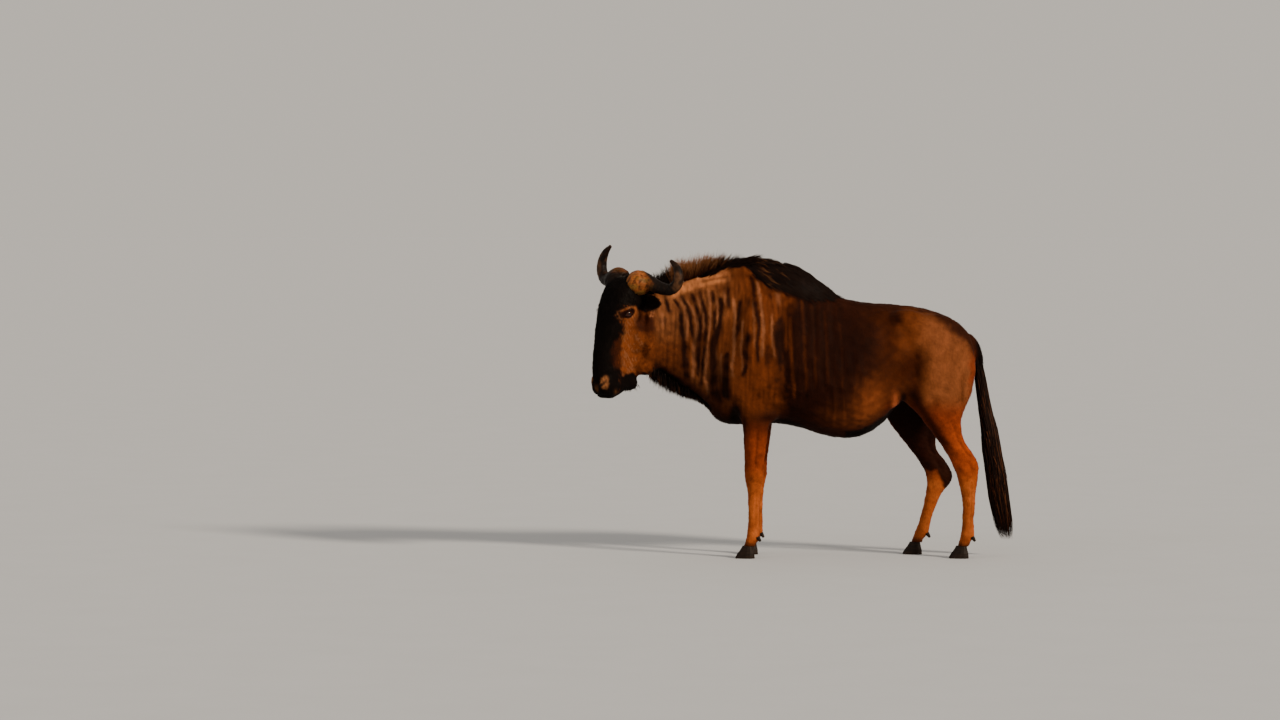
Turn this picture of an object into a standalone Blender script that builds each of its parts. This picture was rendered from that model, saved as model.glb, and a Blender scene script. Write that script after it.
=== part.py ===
"""A blue wildebeest at life size, standing with its head turned a little to its left.

The animal faces -X and its left side faces -Y.  Sizes are in metres, +Z is up, and the
soles of the hooves rest on z = 0 under the middle of the animal's bounding box.

The flesh is one closed body: lofts for the trunk, neck, head, legs and tail root, with
ellipsoids for the big muscles, remeshed into one skin.  Thin cuts then part it into head,
neck, trunk and legs.  Horns, ears, eyes, hooves, dew claws and the long hair (mane, beard
and tail tassel) are solids of their own that fit against that body.
"""

import math

import bmesh
import bpy
from mathutils import Matrix, Vector

# ---------------------------------------------------------------- driving dimensions

GAP = 0.0004                  # clearance between neighbouring pieces
RING_SIDES = 24               # points round each loft section
SKIN_VOXEL = 0.010            # size of the remesh that joins the lofts
SKIN_SMOOTHING = 5            # rounds of smoothing after that remesh
FLESH_TRIANGLES = 3730        # budget of the flesh before it is parted

# The trunk runs from the chest (negative X) to the rump.  Each line is (x, value).
TRUNK_FRONT_X = -0.400
TRUNK_REAR_X = 0.852
TRUNK_STATIONS = 22
BACK_LINE = [(-0.40, 1.120), (-0.32, 1.265), (-0.23, 1.335), (-0.10, 1.345), (0.00, 1.335),
             (0.09, 1.288), (0.20, 1.210), (0.32, 1.180), (0.45, 1.169), (0.57, 1.158),
             (0.70, 1.124), (0.78, 1.080), (0.83, 1.030), (0.852, 0.985)]
BELLY_LINE = [(-0.40, 0.730), (-0.33, 0.645), (-0.22, 0.602), (-0.08, 0.612), (0.06, 0.586),
              (0.17, 0.550), (0.28, 0.541), (0.36, 0.562), (0.44, 0.620), (0.50, 0.700),
              (0.60, 0.750), (0.75, 0.770), (0.82, 0.820), (0.852, 0.900)]
TRUNK_HALF_WIDTH = [(-0.40, 0.090), (-0.33, 0.140), (-0.22, 0.185), (-0.08, 0.203),
                    (0.06, 0.216), (0.20, 0.228), (0.32, 0.228), (0.44, 0.208), (0.56, 0.186),
                    (0.68, 0.176), (0.77, 0.140), (0.83, 0.085), (0.852, 0.045)]
TRUNK_EGG = [(-0.40, 0.10), (-0.20, 0.34), (0.05, 0.38), (0.25, 0.22), (0.50, 0.05), (0.852, 0.0)]

# Neck slices: crest (x, z), throat (x, z), centre y, half width.
NECK_SLICES = [
    ((-0.10, 1.290), (-0.20, 0.660), 0.000, 0.160),
    ((-0.24, 1.332), (-0.30, 0.650), 0.000, 0.160),
    ((-0.33, 1.316), (-0.375, 0.695), 0.000, 0.138),
    ((-0.415, 1.296), (-0.445, 0.752), -0.006, 0.116),
    ((-0.507, 1.268), (-0.530, 0.800), -0.022, 0.100),
    ((-0.585, 1.238), (-0.600, 0.852), -0.048, 0.090),
    ((-0.650, 1.210), (-0.662, 0.885), -0.080, 0.080),
]

# The head has a frame of its own: u forward along the face's normal, v to its left, w up.
# Its point u = v = 0 is the front of the forehead at the height of the eyes.
HEAD_ORIGIN = Vector((-0.850, -0.190, 0.0))
HEAD_YAW = math.radians(45.0)       # turned towards its left
HEAD_ROLL = math.radians(3.0)       # left side lower
HEAD_ROLL_HEIGHT = 1.15
HEAD_STATIONS = 20
FACE_LINE = [(0.733, -0.004), (0.755, 0.028), (0.79, 0.043), (0.85, 0.048), (0.94, 0.046),
             (1.02, 0.031), (1.12, 0.009), (1.20, -0.014), (1.25, -0.044), (1.29, -0.096)]
JAW_LINE = [(0.733, -0.058), (0.755, -0.100), (0.79, -0.160), (0.84, -0.205), (0.875, -0.230),
            (0.94, -0.240), (1.02, -0.242), (1.12, -0.242), (1.20, -0.240), (1.25, -0.225),
            (1.29, -0.190)]
HEAD_NARROWING = 0.16               # how much narrower the jaw side is than the face side
HEAD_HALF_WIDTH = [(0.733, 0.038), (0.755, 0.055), (0.79, 0.063), (0.83, 0.060), (0.87, 0.057),
                   (0.94, 0.061), (1.02, 0.074), (1.08, 0.084), (1.12, 0.090), (1.18, 0.088),
                   (1.25, 0.079), (1.29, 0.055)]
# Lumps on both sides of the head: name, (u, v, w), half sizes.
HEAD_LUMPS = [
    ("brow", (-0.060, 0.070, 1.134), (0.030, 0.030, 0.034)),
    ("cheek", (-0.165, 0.042, 1.030), (0.062, 0.062, 0.095)),
    ("nostril_wing", (0.000, 0.038, 0.800), (0.026, 0.026, 0.034)),
    ("chin", (-0.144, 0.020, 0.804), (0.050, 0.034, 0.040)),
]
THROAT_PLACE = (-0.668, -0.084, 0.892)
THROAT_SIZE = (0.062, 0.046, 0.058)

EYE_RADIUS = 0.0220
EYE_PLACE = (-0.064, 0.084, 1.127)      # u, v, w of the left eye
SOCKET_CLEARANCE = 0.0005
EYE_SEGMENTS = 12

# Muscles on both sides: name, (x, y, z), half sizes, turn about Y in degrees.
MUSCLES = [
    ("shoulder", (-0.165, 0.108, 0.975), (0.135, 0.090, 0.250), 14),
    ("upper_arm", (-0.205, 0.115, 0.770), (0.105, 0.074, 0.130), -30),
    ("haunch", (0.650, 0.092, 0.935), (0.200, 0.096, 0.190), 15),
    ("hip_bone", (0.520, 0.088, 1.085), (0.105, 0.066, 0.060), 0),
    ("flank_fold", (0.478, 0.120, 0.800), (0.060, 0.060, 0.120), 20),
    ("elbow", (-0.090, 0.120, 0.668), (0.042, 0.040, 0.042), 0),
]
BRISKET_PLACE = (-0.265, 0.0, 0.700)
BRISKET_SIZE = (0.115, 0.115, 0.095)

# Legs: rows of (z, centre x, half depth fore and aft, centre y, half width).
FORELEG = [
    (0.98, -0.160, 0.110, 0.100, 0.070),
    (0.86, -0.160, 0.125, 0.115, 0.072),
    (0.75, -0.163, 0.108, 0.122, 0.062),
    (0.67, -0.161, 0.088, 0.124, 0.054),
    (0.60, -0.160, 0.064, 0.124, 0.047),
    (0.52, -0.163, 0.056, 0.123, 0.041),
    (0.44, -0.167, 0.048, 0.122, 0.037),
    (0.385, -0.167, 0.048, 0.122, 0.039),
    (0.335, -0.167, 0.040, 0.122, 0.033),
    (0.29, -0.168, 0.032, 0.122, 0.027),
    (0.20, -0.169, 0.029, 0.122, 0.025),
    (0.14, -0.170, 0.030, 0.122, 0.026),
    (0.10, -0.172, 0.034, 0.123, 0.031),
    (0.065, -0.186, 0.029, 0.124, 0.028),
    (0.030, -0.198, 0.030, 0.124, 0.030),
]
HIND_LEFT = [
    (0.98, 0.650, 0.190, 0.090, 0.080),
    (0.88, 0.650, 0.205, 0.100, 0.088),
    (0.80, 0.652, 0.192, 0.108, 0.086),
    (0.745, 0.660, 0.172, 0.114, 0.078),
    (0.668, 0.684, 0.112, 0.122, 0.062),
    (0.608, 0.702, 0.083, 0.125, 0.050),
    (0.535, 0.738, 0.064, 0.126, 0.042),
    (0.47, 0.782, 0.066, 0.125, 0.036),
    (0.42, 0.804, 0.063, 0.124, 0.038),
    (0.373, 0.811, 0.052, 0.123, 0.035),
    (0.31, 0.815, 0.040, 0.122, 0.029),
    (0.25, 0.817, 0.033, 0.122, 0.026),
    (0.166, 0.815, 0.031, 0.122, 0.026),
    (0.105, 0.811, 0.035, 0.123, 0.031),
    (0.065, 0.795, 0.029, 0.124, 0.028),
    (0.030, 0.783, 0.030, 0.124, 0.030),
]
HIND_RIGHT = [
    (0.98, 0.600, 0.190, 0.090, 0.080),
    (0.88, 0.605, 0.205, 0.100, 0.088),
    (0.80, 0.598, 0.196, 0.108, 0.086),
    (0.72, 0.587, 0.172, 0.116, 0.076),
    (0.65, 0.580, 0.140, 0.121, 0.064),
    (0.60, 0.582, 0.113, 0.124, 0.054),
    (0.55, 0.598, 0.090, 0.126, 0.046),
    (0.488, 0.624, 0.066, 0.126, 0.038),
    (0.43, 0.667, 0.066, 0.125, 0.037),
    (0.375, 0.697, 0.066, 0.124, 0.038),
    (0.335, 0.697, 0.060, 0.123, 0.035),
    (0.285, 0.674, 0.042, 0.122, 0.029),
    (0.22, 0.652, 0.034, 0.122, 0.026),
    (0.16, 0.634, 0.031, 0.122, 0.026),
    (0.105, 0.620, 0.035, 0.123, 0.031),
    (0.065, 0.598, 0.029, 0.124, 0.028),
    (0.030, 0.585, 0.030, 0.124, 0.030),
]
FAR_FORELEG_SHIFT = 0.022

# Hooves: two claws on each foot, flat on the ground.
CORONET_HEIGHT = 0.052
CLAW_LENGTH = 0.092
CLAW_TOP_LENGTH = 0.058
CLAW_HALF_WIDTH = 0.0215
CLAW_SPACING = 0.0230
CLAW_SIDES = 12
TOE_AHEAD_OF_PASTERN = 0.058
DEW_CLAW_HEIGHT = 0.088
DEW_CLAW_LENGTH = 0.023
DEW_CLAW_RADIUS = 0.0095
DEW_CLAW_TIP_SHARE = 0.60           # tip radius as a share of the root's
DEW_CLAW_REACH = 0.82               # middle of the claw as a share of the fetlock's half depth
DEW_CLAW_SPACING = 0.017
DEW_CLAW_TILT = 150                 # degrees about Y, so that the tip points back and down
CLAW_SETBACK = 0.030                # how far the toe's top lies behind its tip
CLAW_INNER_SHARE = 0.72             # the side towards the twin claw is flatter

# Horns: (v, w, u, radius) along the left horn; the right one is lifted a little at its tip.
HORN_LINE = [
    (0.020, 1.280, -0.148, 0.034),
    (0.070, 1.290, -0.150, 0.038),
    (0.120, 1.275, -0.163, 0.034),
    (0.170, 1.257, -0.184, 0.029),
    (0.216, 1.257, -0.204, 0.0260),
    (0.247, 1.290, -0.214, 0.0245),
    (0.249, 1.332, -0.217, 0.0215),
    (0.230, 1.370, -0.217, 0.0160),
    (0.196, 1.399, -0.215, 0.0070),
]
HORN_SIDE_LIFT = 0.022
HORN_VOXEL = 0.0045
HORN_SMOOTHING = 3
HORN_TRIANGLES = 340
BOSS_SIZE = (0.058, 0.062, 0.055)       # half sizes along v, u and w
BOSS_PLACE = (0.070, 1.264, -0.140)     # v, w, u

EAR_HALF_WIDTH = 0.036
EAR_HALF_THICKNESS = 0.007
EAR_CUP = 0.014
EAR_STATIONS = 9
EAR_SIDES = 10
EAR_ROOT_SHARE = 0.42               # width at the root as a share of the widest part
EAR_WIDEST = 0.45                   # where along the ear it starts to narrow to its tip
LEFT_EAR = ((-0.180, 0.062, 1.188), (-0.150, 0.207, 1.180))      # base and tip (u, v, w)
RIGHT_EAR = ((-0.195, -0.070, 1.198), (-0.275, -0.205, 1.150))

# Tail: (z, centre x, half depth, half width); the dock is flesh, the tassel is hair.
TAIL_DOCK = [(1.030, 0.815, 0.024, 0.026), (0.990, 0.850, 0.024, 0.026),
             (0.930, 0.872, 0.022, 0.024), (0.840, 0.880, 0.019, 0.021),
             (0.740, 0.890, 0.017, 0.018), (0.660, 0.902, 0.013, 0.013)]
TASSEL = [(0.900, 0.878, 0.026, 0.026), (0.810, 0.882, 0.033, 0.032),
          (0.660, 0.909, 0.037, 0.036), (0.490, 0.938, 0.047, 0.045),
          (0.290, 0.963, 0.050, 0.046), (0.170, 0.985, 0.046, 0.040),
          (0.100, 0.997, 0.036, 0.028), (0.075, 1.002, 0.018, 0.014)]

# Mane: crest slices of (tip x, tip z, root x, root z, centre y, half width).
MANE_SLICES = [
    (-0.668, 1.270, -0.655, 1.190, -0.078, 0.014),
    (-0.640, 1.292, -0.630, 1.185, -0.068, 0.022),
    (-0.595, 1.303, -0.585, 1.190, -0.052, 0.026),
    (-0.552, 1.318, -0.540, 1.198, -0.036, 0.025),
    (-0.505, 1.362, -0.495, 1.204, -0.022, 0.022),
    (-0.440, 1.388, -0.425, 1.210, -0.008, 0.027),
    (-0.330, 1.386, -0.330, 1.230, 0.000, 0.038),
    (-0.230, 1.374, -0.230, 1.240, 0.000, 0.062),
    (-0.120, 1.372, -0.120, 1.230, 0.000, 0.084),
    (-0.020, 1.356, -0.020, 1.210, 0.000, 0.094),
    (0.070, 1.314, 0.070, 1.190, 0.000, 0.086),
    (0.140, 1.262, 0.140, 1.170, 0.000, 0.062),
    (0.200, 1.222, 0.200, 1.165, 0.000, 0.024),
]
# Beard: the same, hanging under the throat.
BEARD_SLICES = [
    (-0.668, 0.862, -0.655, 0.935, -0.082, 0.012),
    (-0.640, 0.805, -0.628, 0.920, -0.070, 0.024),
    (-0.585, 0.768, -0.575, 0.900, -0.046, 0.032),
    (-0.510, 0.735, -0.505, 0.870, -0.020, 0.036),
    (-0.435, 0.718, -0.430, 0.820, -0.006, 0.034),
    (-0.370, 0.680, -0.360, 0.760, 0.000, 0.026),
]

# Parting planes of the flesh: a point on each and the direction towards the part beyond.
HEAD_CUT = (Vector((-0.650, -0.070, 1.05)), Vector((-0.92, -0.38, 0.0)))
NECK_CUT = (Vector((-0.335, 0.0, 1.00)), Vector((-1.0, 0.0, 0.12)))
FORELEG_CUT_X = (-0.320, -0.020)
HINDLEG_CUT_X = (0.400, 0.900)
LEG_CUT_REACH = 0.400               # how far out the leg cuts reach to each side
FORELEG_CUT_Z = 0.598
KNEE_CUT_Z = 0.345
HIND_CUT_Z = 0.742
HOCK_CUT_Z = 0.345

# ---------------------------------------------------------------- colours

COLOURS = {
    "coat": ((0.20, 0.085, 0.030), 0.75, 0.0),
    "dark_coat": ((0.050, 0.028, 0.018), 0.75, 0.0),
    "long_hair": ((0.020, 0.014, 0.011), 0.60, 0.0),
    "horn": ((0.070, 0.045, 0.028), 0.40, 0.0),
    "hoof": ((0.035, 0.026, 0.020), 0.45, 0.0),
    "eye": ((0.020, 0.010, 0.006), 0.08, 0.0),
}


def make_material(name):
    colour, roughness, metallic = COLOURS[name]
    material = bpy.data.materials.new(name)
    material.use_nodes = True
    shader = material.node_tree.nodes["Principled BSDF"]
    shader.inputs["Base Color"].default_value = (*colour, 1.0)
    shader.inputs["Roughness"].default_value = roughness
    shader.inputs["Metallic"].default_value = metallic
    material.diffuse_color = (*colour, 1.0)
    return material


# ---------------------------------------------------------------- small tools


def along(line, key):
    """The value at key on a smooth curve through (key, value) pairs in rising order."""
    if key <= line[0][0]:
        return line[0][1]
    for index in range(len(line) - 1):
        (k0, v0), (k1, v1) = line[index], line[index + 1]
        if key <= k1:
            before = line[max(index - 1, 0)]
            after = line[min(index + 2, len(line) - 1)]
            slope0 = (v1 - before[1]) / (k1 - before[0])
            slope1 = (after[1] - v0) / (after[0] - k0)
            span = k1 - k0
            t = (key - k0) / span
            h00 = 2 * t**3 - 3 * t**2 + 1
            h10 = t**3 - 2 * t**2 + t
            h01 = -2 * t**3 + 3 * t**2
            h11 = t**3 - t**2
            return h00 * v0 + h10 * span * slope0 + h01 * v1 + h11 * span * slope1
    return line[-1][1]


def new_object(name, mesh, collection):
    thing = bpy.data.objects.new(name, mesh)
    collection.objects.link(thing)
    return thing


def close_mesh(name, rings):
    """A closed mesh from rings of equal length, capped at both ends, faces pointing out."""
    work = bmesh.new()
    rows = [[work.verts.new(point) for point in ring] for ring in rings]
    for lower, upper in zip(rows, rows[1:]):
        for index in range(len(lower)):
            after = (index + 1) % len(lower)
            work.faces.new((lower[index], lower[after], upper[after], upper[index]))
    work.faces.new(rows[0][::-1])
    work.faces.new(rows[-1])
    bmesh.ops.recalc_face_normals(work, faces=work.faces)
    if work.calc_volume(signed=True) < 0:
        bmesh.ops.reverse_faces(work, faces=work.faces)
    mesh = bpy.data.meshes.new(name)
    work.to_mesh(mesh)
    work.free()
    return mesh


def slice_ring(front, back, centre_y, half_width, egg=0.0, sides=RING_SIDES):
    """An egg-shaped section between two points of the XZ plane, narrower at the front one."""
    ring = []
    middle = [(a + b) / 2 for a, b in zip(front, back)]
    half = [(a - b) / 2 for a, b in zip(front, back)]
    for index in range(sides):
        angle = 2 * math.pi * index / sides
        rise = math.sin(angle)
        wide = math.cos(angle) * half_width * (1 - egg * rise)
        ring.append((middle[0] + half[0] * rise, centre_y + wide, middle[1] + half[1] * rise))
    return ring


def smooth_rows(rows, steps):
    """Rows of numbers resampled to steps + 1 rows on a smooth curve through them all."""
    count = len(rows) - 1
    columns = [[(index, row[column]) for index, row in enumerate(rows)]
               for column in range(len(rows[0]))]
    places = [index * count / steps for index in range(steps + 1)]
    return [[along(column, place) for column in columns] for place in places]


def ellipsoid(name, centre, half_sizes, collection, turn_y=0.0, segments=24):
    work = bmesh.new()
    bmesh.ops.create_uvsphere(work, u_segments=segments, v_segments=segments * 2 // 3,
                              radius=1.0)
    matrix = (Matrix.Translation(centre) @ Matrix.Rotation(turn_y, 4, "Y")
              @ Matrix.Diagonal((*half_sizes, 1.0)))
    bmesh.ops.transform(work, matrix=matrix, verts=work.verts)
    mesh = bpy.data.meshes.new(name)
    work.to_mesh(mesh)
    work.free()
    return new_object(name, mesh, collection)


def apply_modifiers(thing):
    graph = bpy.context.evaluated_depsgraph_get()
    mesh = bpy.data.meshes.new_from_object(thing.evaluated_get(graph))
    thing.modifiers.clear()
    old = thing.data
    thing.data = mesh
    bpy.data.meshes.remove(old)


def join_as_one(name, things, collection):
    """All the things' faces in one new object; the things themselves are removed."""
    work = bmesh.new()
    for thing in things:
        work.from_mesh(thing.data)
    mesh = bpy.data.meshes.new(name)
    work.to_mesh(mesh)
    work.free()
    for thing in things:
        bpy.data.objects.remove(thing)
    return new_object(name, mesh, collection)


def remesh(thing, voxel, smooth_steps):
    fuse = thing.modifiers.new("fuse", "REMESH")
    fuse.mode = "VOXEL"
    fuse.voxel_size = voxel
    soften = thing.modifiers.new("soften", "SMOOTH")
    soften.factor = 0.5
    soften.iterations = smooth_steps
    apply_modifiers(thing)


def decimate(thing, triangles):
    face_count = sum(len(face.vertices) - 2 for face in thing.data.polygons)
    thin_out = thing.modifiers.new("thin_out", "DECIMATE")
    thin_out.ratio = min(1.0, triangles / face_count)
    thin_out.use_collapse_triangulate = True
    apply_modifiers(thing)


def boolean(thing, cutter, operation):
    cut = thing.modifiers.new("cut", "BOOLEAN")
    cut.operation = operation
    cut.solver = "EXACT"
    cut.object = cutter
    apply_modifiers(thing)


def tidy_mesh(thing):
    """Welds the cut's slivers, keeps the largest closed body and triangulates it."""
    work = bmesh.new()
    work.from_mesh(thing.data)
    bmesh.ops.remove_doubles(work, verts=work.verts, dist=0.00005)
    bmesh.ops.dissolve_degenerate(work, edges=work.edges, dist=0.00002)
    bmesh.ops.triangulate(work, faces=work.faces)
    unseen = set(work.verts)
    bodies = []
    while unseen:
        body = [unseen.pop()]
        for vert in body:
            for edge in vert.link_edges:
                other = edge.other_vert(vert)
                if other in unseen:
                    unseen.discard(other)
                    body.append(other)
        bodies.append(body)
    bodies.sort(key=len)
    for body in bodies[:-1]:
        bmesh.ops.delete(work, geom=body, context="VERTS")
    bmesh.ops.recalc_face_normals(work, faces=work.faces)
    work.to_mesh(thing.data)
    work.free()


def make_cutter(thing):
    thing.hide_render = True
    thing.display_type = "WIRE"
    return thing


def box_cutter(name, low, high, cutters):
    work = bmesh.new()
    bmesh.ops.create_cube(work, size=1.0)
    size = Vector(high) - Vector(low)
    middle = (Vector(high) + Vector(low)) / 2
    matrix = Matrix.Translation(middle) @ Matrix.Diagonal((*size, 1.0))
    bmesh.ops.transform(work, matrix=matrix, verts=work.verts)
    mesh = bpy.data.meshes.new(name)
    work.to_mesh(mesh)
    work.free()
    return make_cutter(new_object(name, mesh, cutters))


def half_space(name, point, direction, cutters):
    """A big box that holds everything beyond a plane, in the given direction."""
    reach = 3.0
    cutter = box_cutter(name, (-reach, -reach, 0.0), (reach, reach, 2 * reach), cutters)
    turn = direction.to_track_quat("Z", "Y").to_matrix().to_4x4()
    cutter.data.transform(Matrix.Translation(point) @ turn)
    return cutter


def copy_of(thing, name, collection):
    return new_object(name, thing.data.copy(), collection)


def fatten(thing, amount):
    """Moves each vertex out along its normal."""
    normals = [vert.normal.copy() for vert in thing.data.vertices]
    for vert, normal in zip(thing.data.vertices, normals):
        vert.co += normal * amount


# ---------------------------------------------------------------- head frame


def head_point(u, v, w):
    """A point of the head's own frame, rolled and turned into the animal's frame."""
    lift = w - HEAD_ROLL_HEIGHT
    side = v * math.cos(HEAD_ROLL) + lift * math.sin(HEAD_ROLL)
    height = HEAD_ROLL_HEIGHT - v * math.sin(HEAD_ROLL) + lift * math.cos(HEAD_ROLL)
    x = -u * math.cos(HEAD_YAW) + side * math.sin(HEAD_YAW)
    y = -u * math.sin(HEAD_YAW) - side * math.cos(HEAD_YAW)
    return HEAD_ORIGIN + Vector((x, y, height))


def head_matrix():
    """The same move as a matrix, from (u, v, w) to the animal's frame."""
    origin = head_point(0.0, 0.0, 0.0)
    axes = [head_point(*axis) - origin for axis in ((1, 0, 0), (0, 1, 0), (0, 0, 1))]
    matrix = Matrix((axes[0], axes[1], axes[2])).transposed().to_4x4()
    return Matrix.Translation(origin) @ matrix


# ---------------------------------------------------------------- flesh


def build_trunk(cutters):
    rings = []
    for index in range(TRUNK_STATIONS):
        x = TRUNK_FRONT_X + (TRUNK_REAR_X - TRUNK_FRONT_X) * index / (TRUNK_STATIONS - 1)
        top = (x, along(BACK_LINE, x))
        bottom = (x, along(BELLY_LINE, x))
        rings.append(slice_ring(top, bottom, 0.0, along(TRUNK_HALF_WIDTH, x), along(TRUNK_EGG, x)))
    return new_object("trunk_loft", close_mesh("trunk_loft", rings), cutters)


def build_neck(cutters):
    rows = [(*crest, *throat, y, width) for crest, throat, y, width in NECK_SLICES]
    rings = [slice_ring((a, b), (c, d), y, width, 0.22)
             for a, b, c, d, y, width in smooth_rows(rows, 18)]
    return new_object("neck_loft", close_mesh("neck_loft", rings), cutters)


def build_head(cutters):
    low, high = FACE_LINE[0][0], FACE_LINE[-1][0]
    rings = []
    for index in range(HEAD_STATIONS):
        w = low + (high - low) * index / (HEAD_STATIONS - 1)
        face = along(FACE_LINE, w)
        jaw = along(JAW_LINE, w)
        half_width = along(HEAD_HALF_WIDTH, w)
        ring = []
        for side in range(RING_SIDES):
            angle = 2 * math.pi * side / RING_SIDES
            forward = math.copysign(abs(math.sin(angle))**0.85, math.sin(angle))
            across = math.copysign(abs(math.cos(angle))**0.80, math.cos(angle))
            narrowing = 1 + HEAD_NARROWING * forward
            u = (face + jaw) / 2 + (face - jaw) / 2 * forward
            ring.append(head_point(u, across * half_width * narrowing, w))
        rings.append(ring)
    loft = new_object("head_loft", close_mesh("head_loft", rings), cutters)
    lumps = [loft]
    for name, (u, v, w), half_sizes in HEAD_LUMPS:
        for side in (1, -1):
            lumps.append(ellipsoid(name, head_point(u, side * v, w), half_sizes, cutters))
    return lumps


def build_leg(rows, side, shift, cutters):
    rings = []
    for z, x, half_depth, y, half_width in smooth_rows(rows, 3 * (len(rows) - 1)):
        front = (x + shift - half_depth, z)
        back = (x + shift + half_depth, z)
        rings.append(slice_ring(front, back, side * y, half_width))
    return new_object("leg_loft", close_mesh("leg_loft", rings), cutters)


def build_muscles(cutters):
    lumps = [ellipsoid("brisket", BRISKET_PLACE, BRISKET_SIZE, cutters),
             ellipsoid("throat", THROAT_PLACE, THROAT_SIZE, cutters)]
    for name, (x, y, z), half_sizes, turn in MUSCLES:
        for side in (-1, 1):
            lumps.append(ellipsoid(name, (x, side * y, z), half_sizes, cutters,
                                   math.radians(turn)))
    return lumps


def build_flesh(cutters):
    pieces = [build_trunk(cutters), build_neck(cutters)]
    pieces += build_head(cutters)
    pieces += build_muscles(cutters)
    pieces.append(build_leg(FORELEG, -1, 0.0, cutters))
    pieces.append(build_leg(FORELEG, 1, FAR_FORELEG_SHIFT, cutters))
    pieces.append(build_leg(HIND_LEFT, -1, 0.0, cutters))
    pieces.append(build_leg(HIND_RIGHT, 1, 0.0, cutters))
    flesh = join_as_one("flesh_whole", pieces, cutters)
    remesh(flesh, SKIN_VOXEL, SKIN_SMOOTHING)
    decimate(flesh, FLESH_TRIANGLES)
    level = box_cutter("coronet_level", (-2, -2, -1), (2, 2, CORONET_HEIGHT + GAP), cutters)
    boolean(flesh, level, "DIFFERENCE")
    tidy_mesh(flesh)
    return make_cutter(flesh)


# ---------------------------------------------------------------- pieces


def finish_piece(thing, name, material, collection):
    """Names a finished solid, gives it its material and files it with the parts."""
    thing.name = name
    thing.data.name = name
    thing.hide_render = False
    thing.display_type = "TEXTURED"
    thing.data.materials.clear()
    thing.data.materials.append(material)
    for holder in list(thing.users_collection):
        holder.objects.unlink(thing)
    collection.objects.link(thing)
    return thing


def fit_against(thing, fat_body):
    """Cuts away what lies inside the fattened body, so that the piece only touches it."""
    boolean(thing, fat_body, "DIFFERENCE")
    tidy_mesh(thing)


def side_name(side):
    return "left" if side > 0 else "right"


def build_eye(side, flesh, material, parts, cutters):
    u, v, w = EYE_PLACE
    centre = head_point(u, side * v, w)
    ball = ellipsoid("eye", centre, (EYE_RADIUS,) * 3, cutters, segments=EYE_SEGMENTS)
    tidy_mesh(ball)
    socket_radius = EYE_RADIUS + SOCKET_CLEARANCE
    socket = make_cutter(ellipsoid("socket", centre, (socket_radius,) * 3, cutters,
                                   segments=EYE_SEGMENTS))
    boolean(flesh, socket, "DIFFERENCE")
    return finish_piece(ball, "eye_" + side_name(side), material, parts)


def build_horn(side, fat_body, material, parts, cutters):
    curve = bpy.data.curves.new("horn_line", "CURVE")
    curve.dimensions = "3D"
    curve.bevel_depth = 1.0
    curve.bevel_resolution = 3
    curve.use_fill_caps = True
    rows = smooth_rows(HORN_LINE, 26)
    spline = curve.splines.new("POLY")
    spline.points.add(len(rows) - 1)
    for point, (index, (v, w, u, radius)) in zip(spline.points, enumerate(rows)):
        lift = -side * HORN_SIDE_LIFT * (index / (len(rows) - 1))
        point.co = (*head_point(u, side * v, w + lift), 1.0)
        point.radius = radius
    tube_curve = new_object("horn_curve", curve, cutters)
    graph = bpy.context.evaluated_depsgraph_get()
    tube_mesh = bpy.data.meshes.new_from_object(tube_curve.evaluated_get(graph))
    tube = new_object("horn_tube", tube_mesh, cutters)
    bpy.data.objects.remove(tube_curve)
    v, w, u = BOSS_PLACE
    boss = ellipsoid("boss", (0, 0, 0), (1, 1, 1), cutters)
    half_v, half_u, half_w = BOSS_SIZE
    local = (head_matrix() @ Matrix.Translation((u, side * v, w))
             @ Matrix.Diagonal((half_u, half_v, half_w, 1.0)))
    boss.data.transform(local)
    horn = join_as_one("horn", [tube, boss], cutters)
    remesh(horn, HORN_VOXEL, HORN_SMOOTHING)
    decimate(horn, HORN_TRIANGLES)
    middle = head_point(u, side * GAP / 2, w)
    outward = head_point(u, side * 1.0, w) - head_point(u, 0.0, w)
    boolean(horn, half_space("horn_half", middle, outward, cutters), "INTERSECT")
    fit_against(horn, fat_body)
    return finish_piece(horn, "horn_" + side_name(side), material, parts)


def build_ear(side, ends, fat_body, material, parts, cutters):
    """A leaf with a shallow cup that opens forwards and down."""
    base, tip = (head_point(*end) for end in ends)
    axis = (tip - base).normalized()
    forward = (head_point(1, 0, 0) - head_point(0, 0, 0)).normalized()
    across = axis.cross(forward).normalized()
    inner = across.cross(axis).normalized()
    rings = []
    for index in range(EAR_STATIONS + 1):
        t = index / EAR_STATIONS
        opening = EAR_ROOT_SHARE + (1 - EAR_ROOT_SHARE) * math.sin(math.pi / 2 * min(1.0, 1.2 * t))
        beyond = max(0.0, (t - EAR_WIDEST) / (1 - EAR_WIDEST))
        width = EAR_HALF_WIDTH * opening * (0.98 * math.sqrt(1 - beyond**2) + 0.02)
        thick = EAR_HALF_THICKNESS * (1 - 0.6 * t)
        middle = base + (tip - base) * t
        ring = []
        for step in range(EAR_SIDES):
            angle = 2 * math.pi * step / EAR_SIDES
            bend = EAR_CUP * (math.cos(angle)**2) * (width / EAR_HALF_WIDTH)
            ring.append(middle + across * (width * math.cos(angle))
                        + inner * (thick * math.sin(angle) + bend))
        rings.append(ring)
    ear = new_object("ear", close_mesh("ear", rings), cutters)
    fit_against(ear, fat_body)
    return finish_piece(ear, "ear_" + side_name(side), material, parts)


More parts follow.
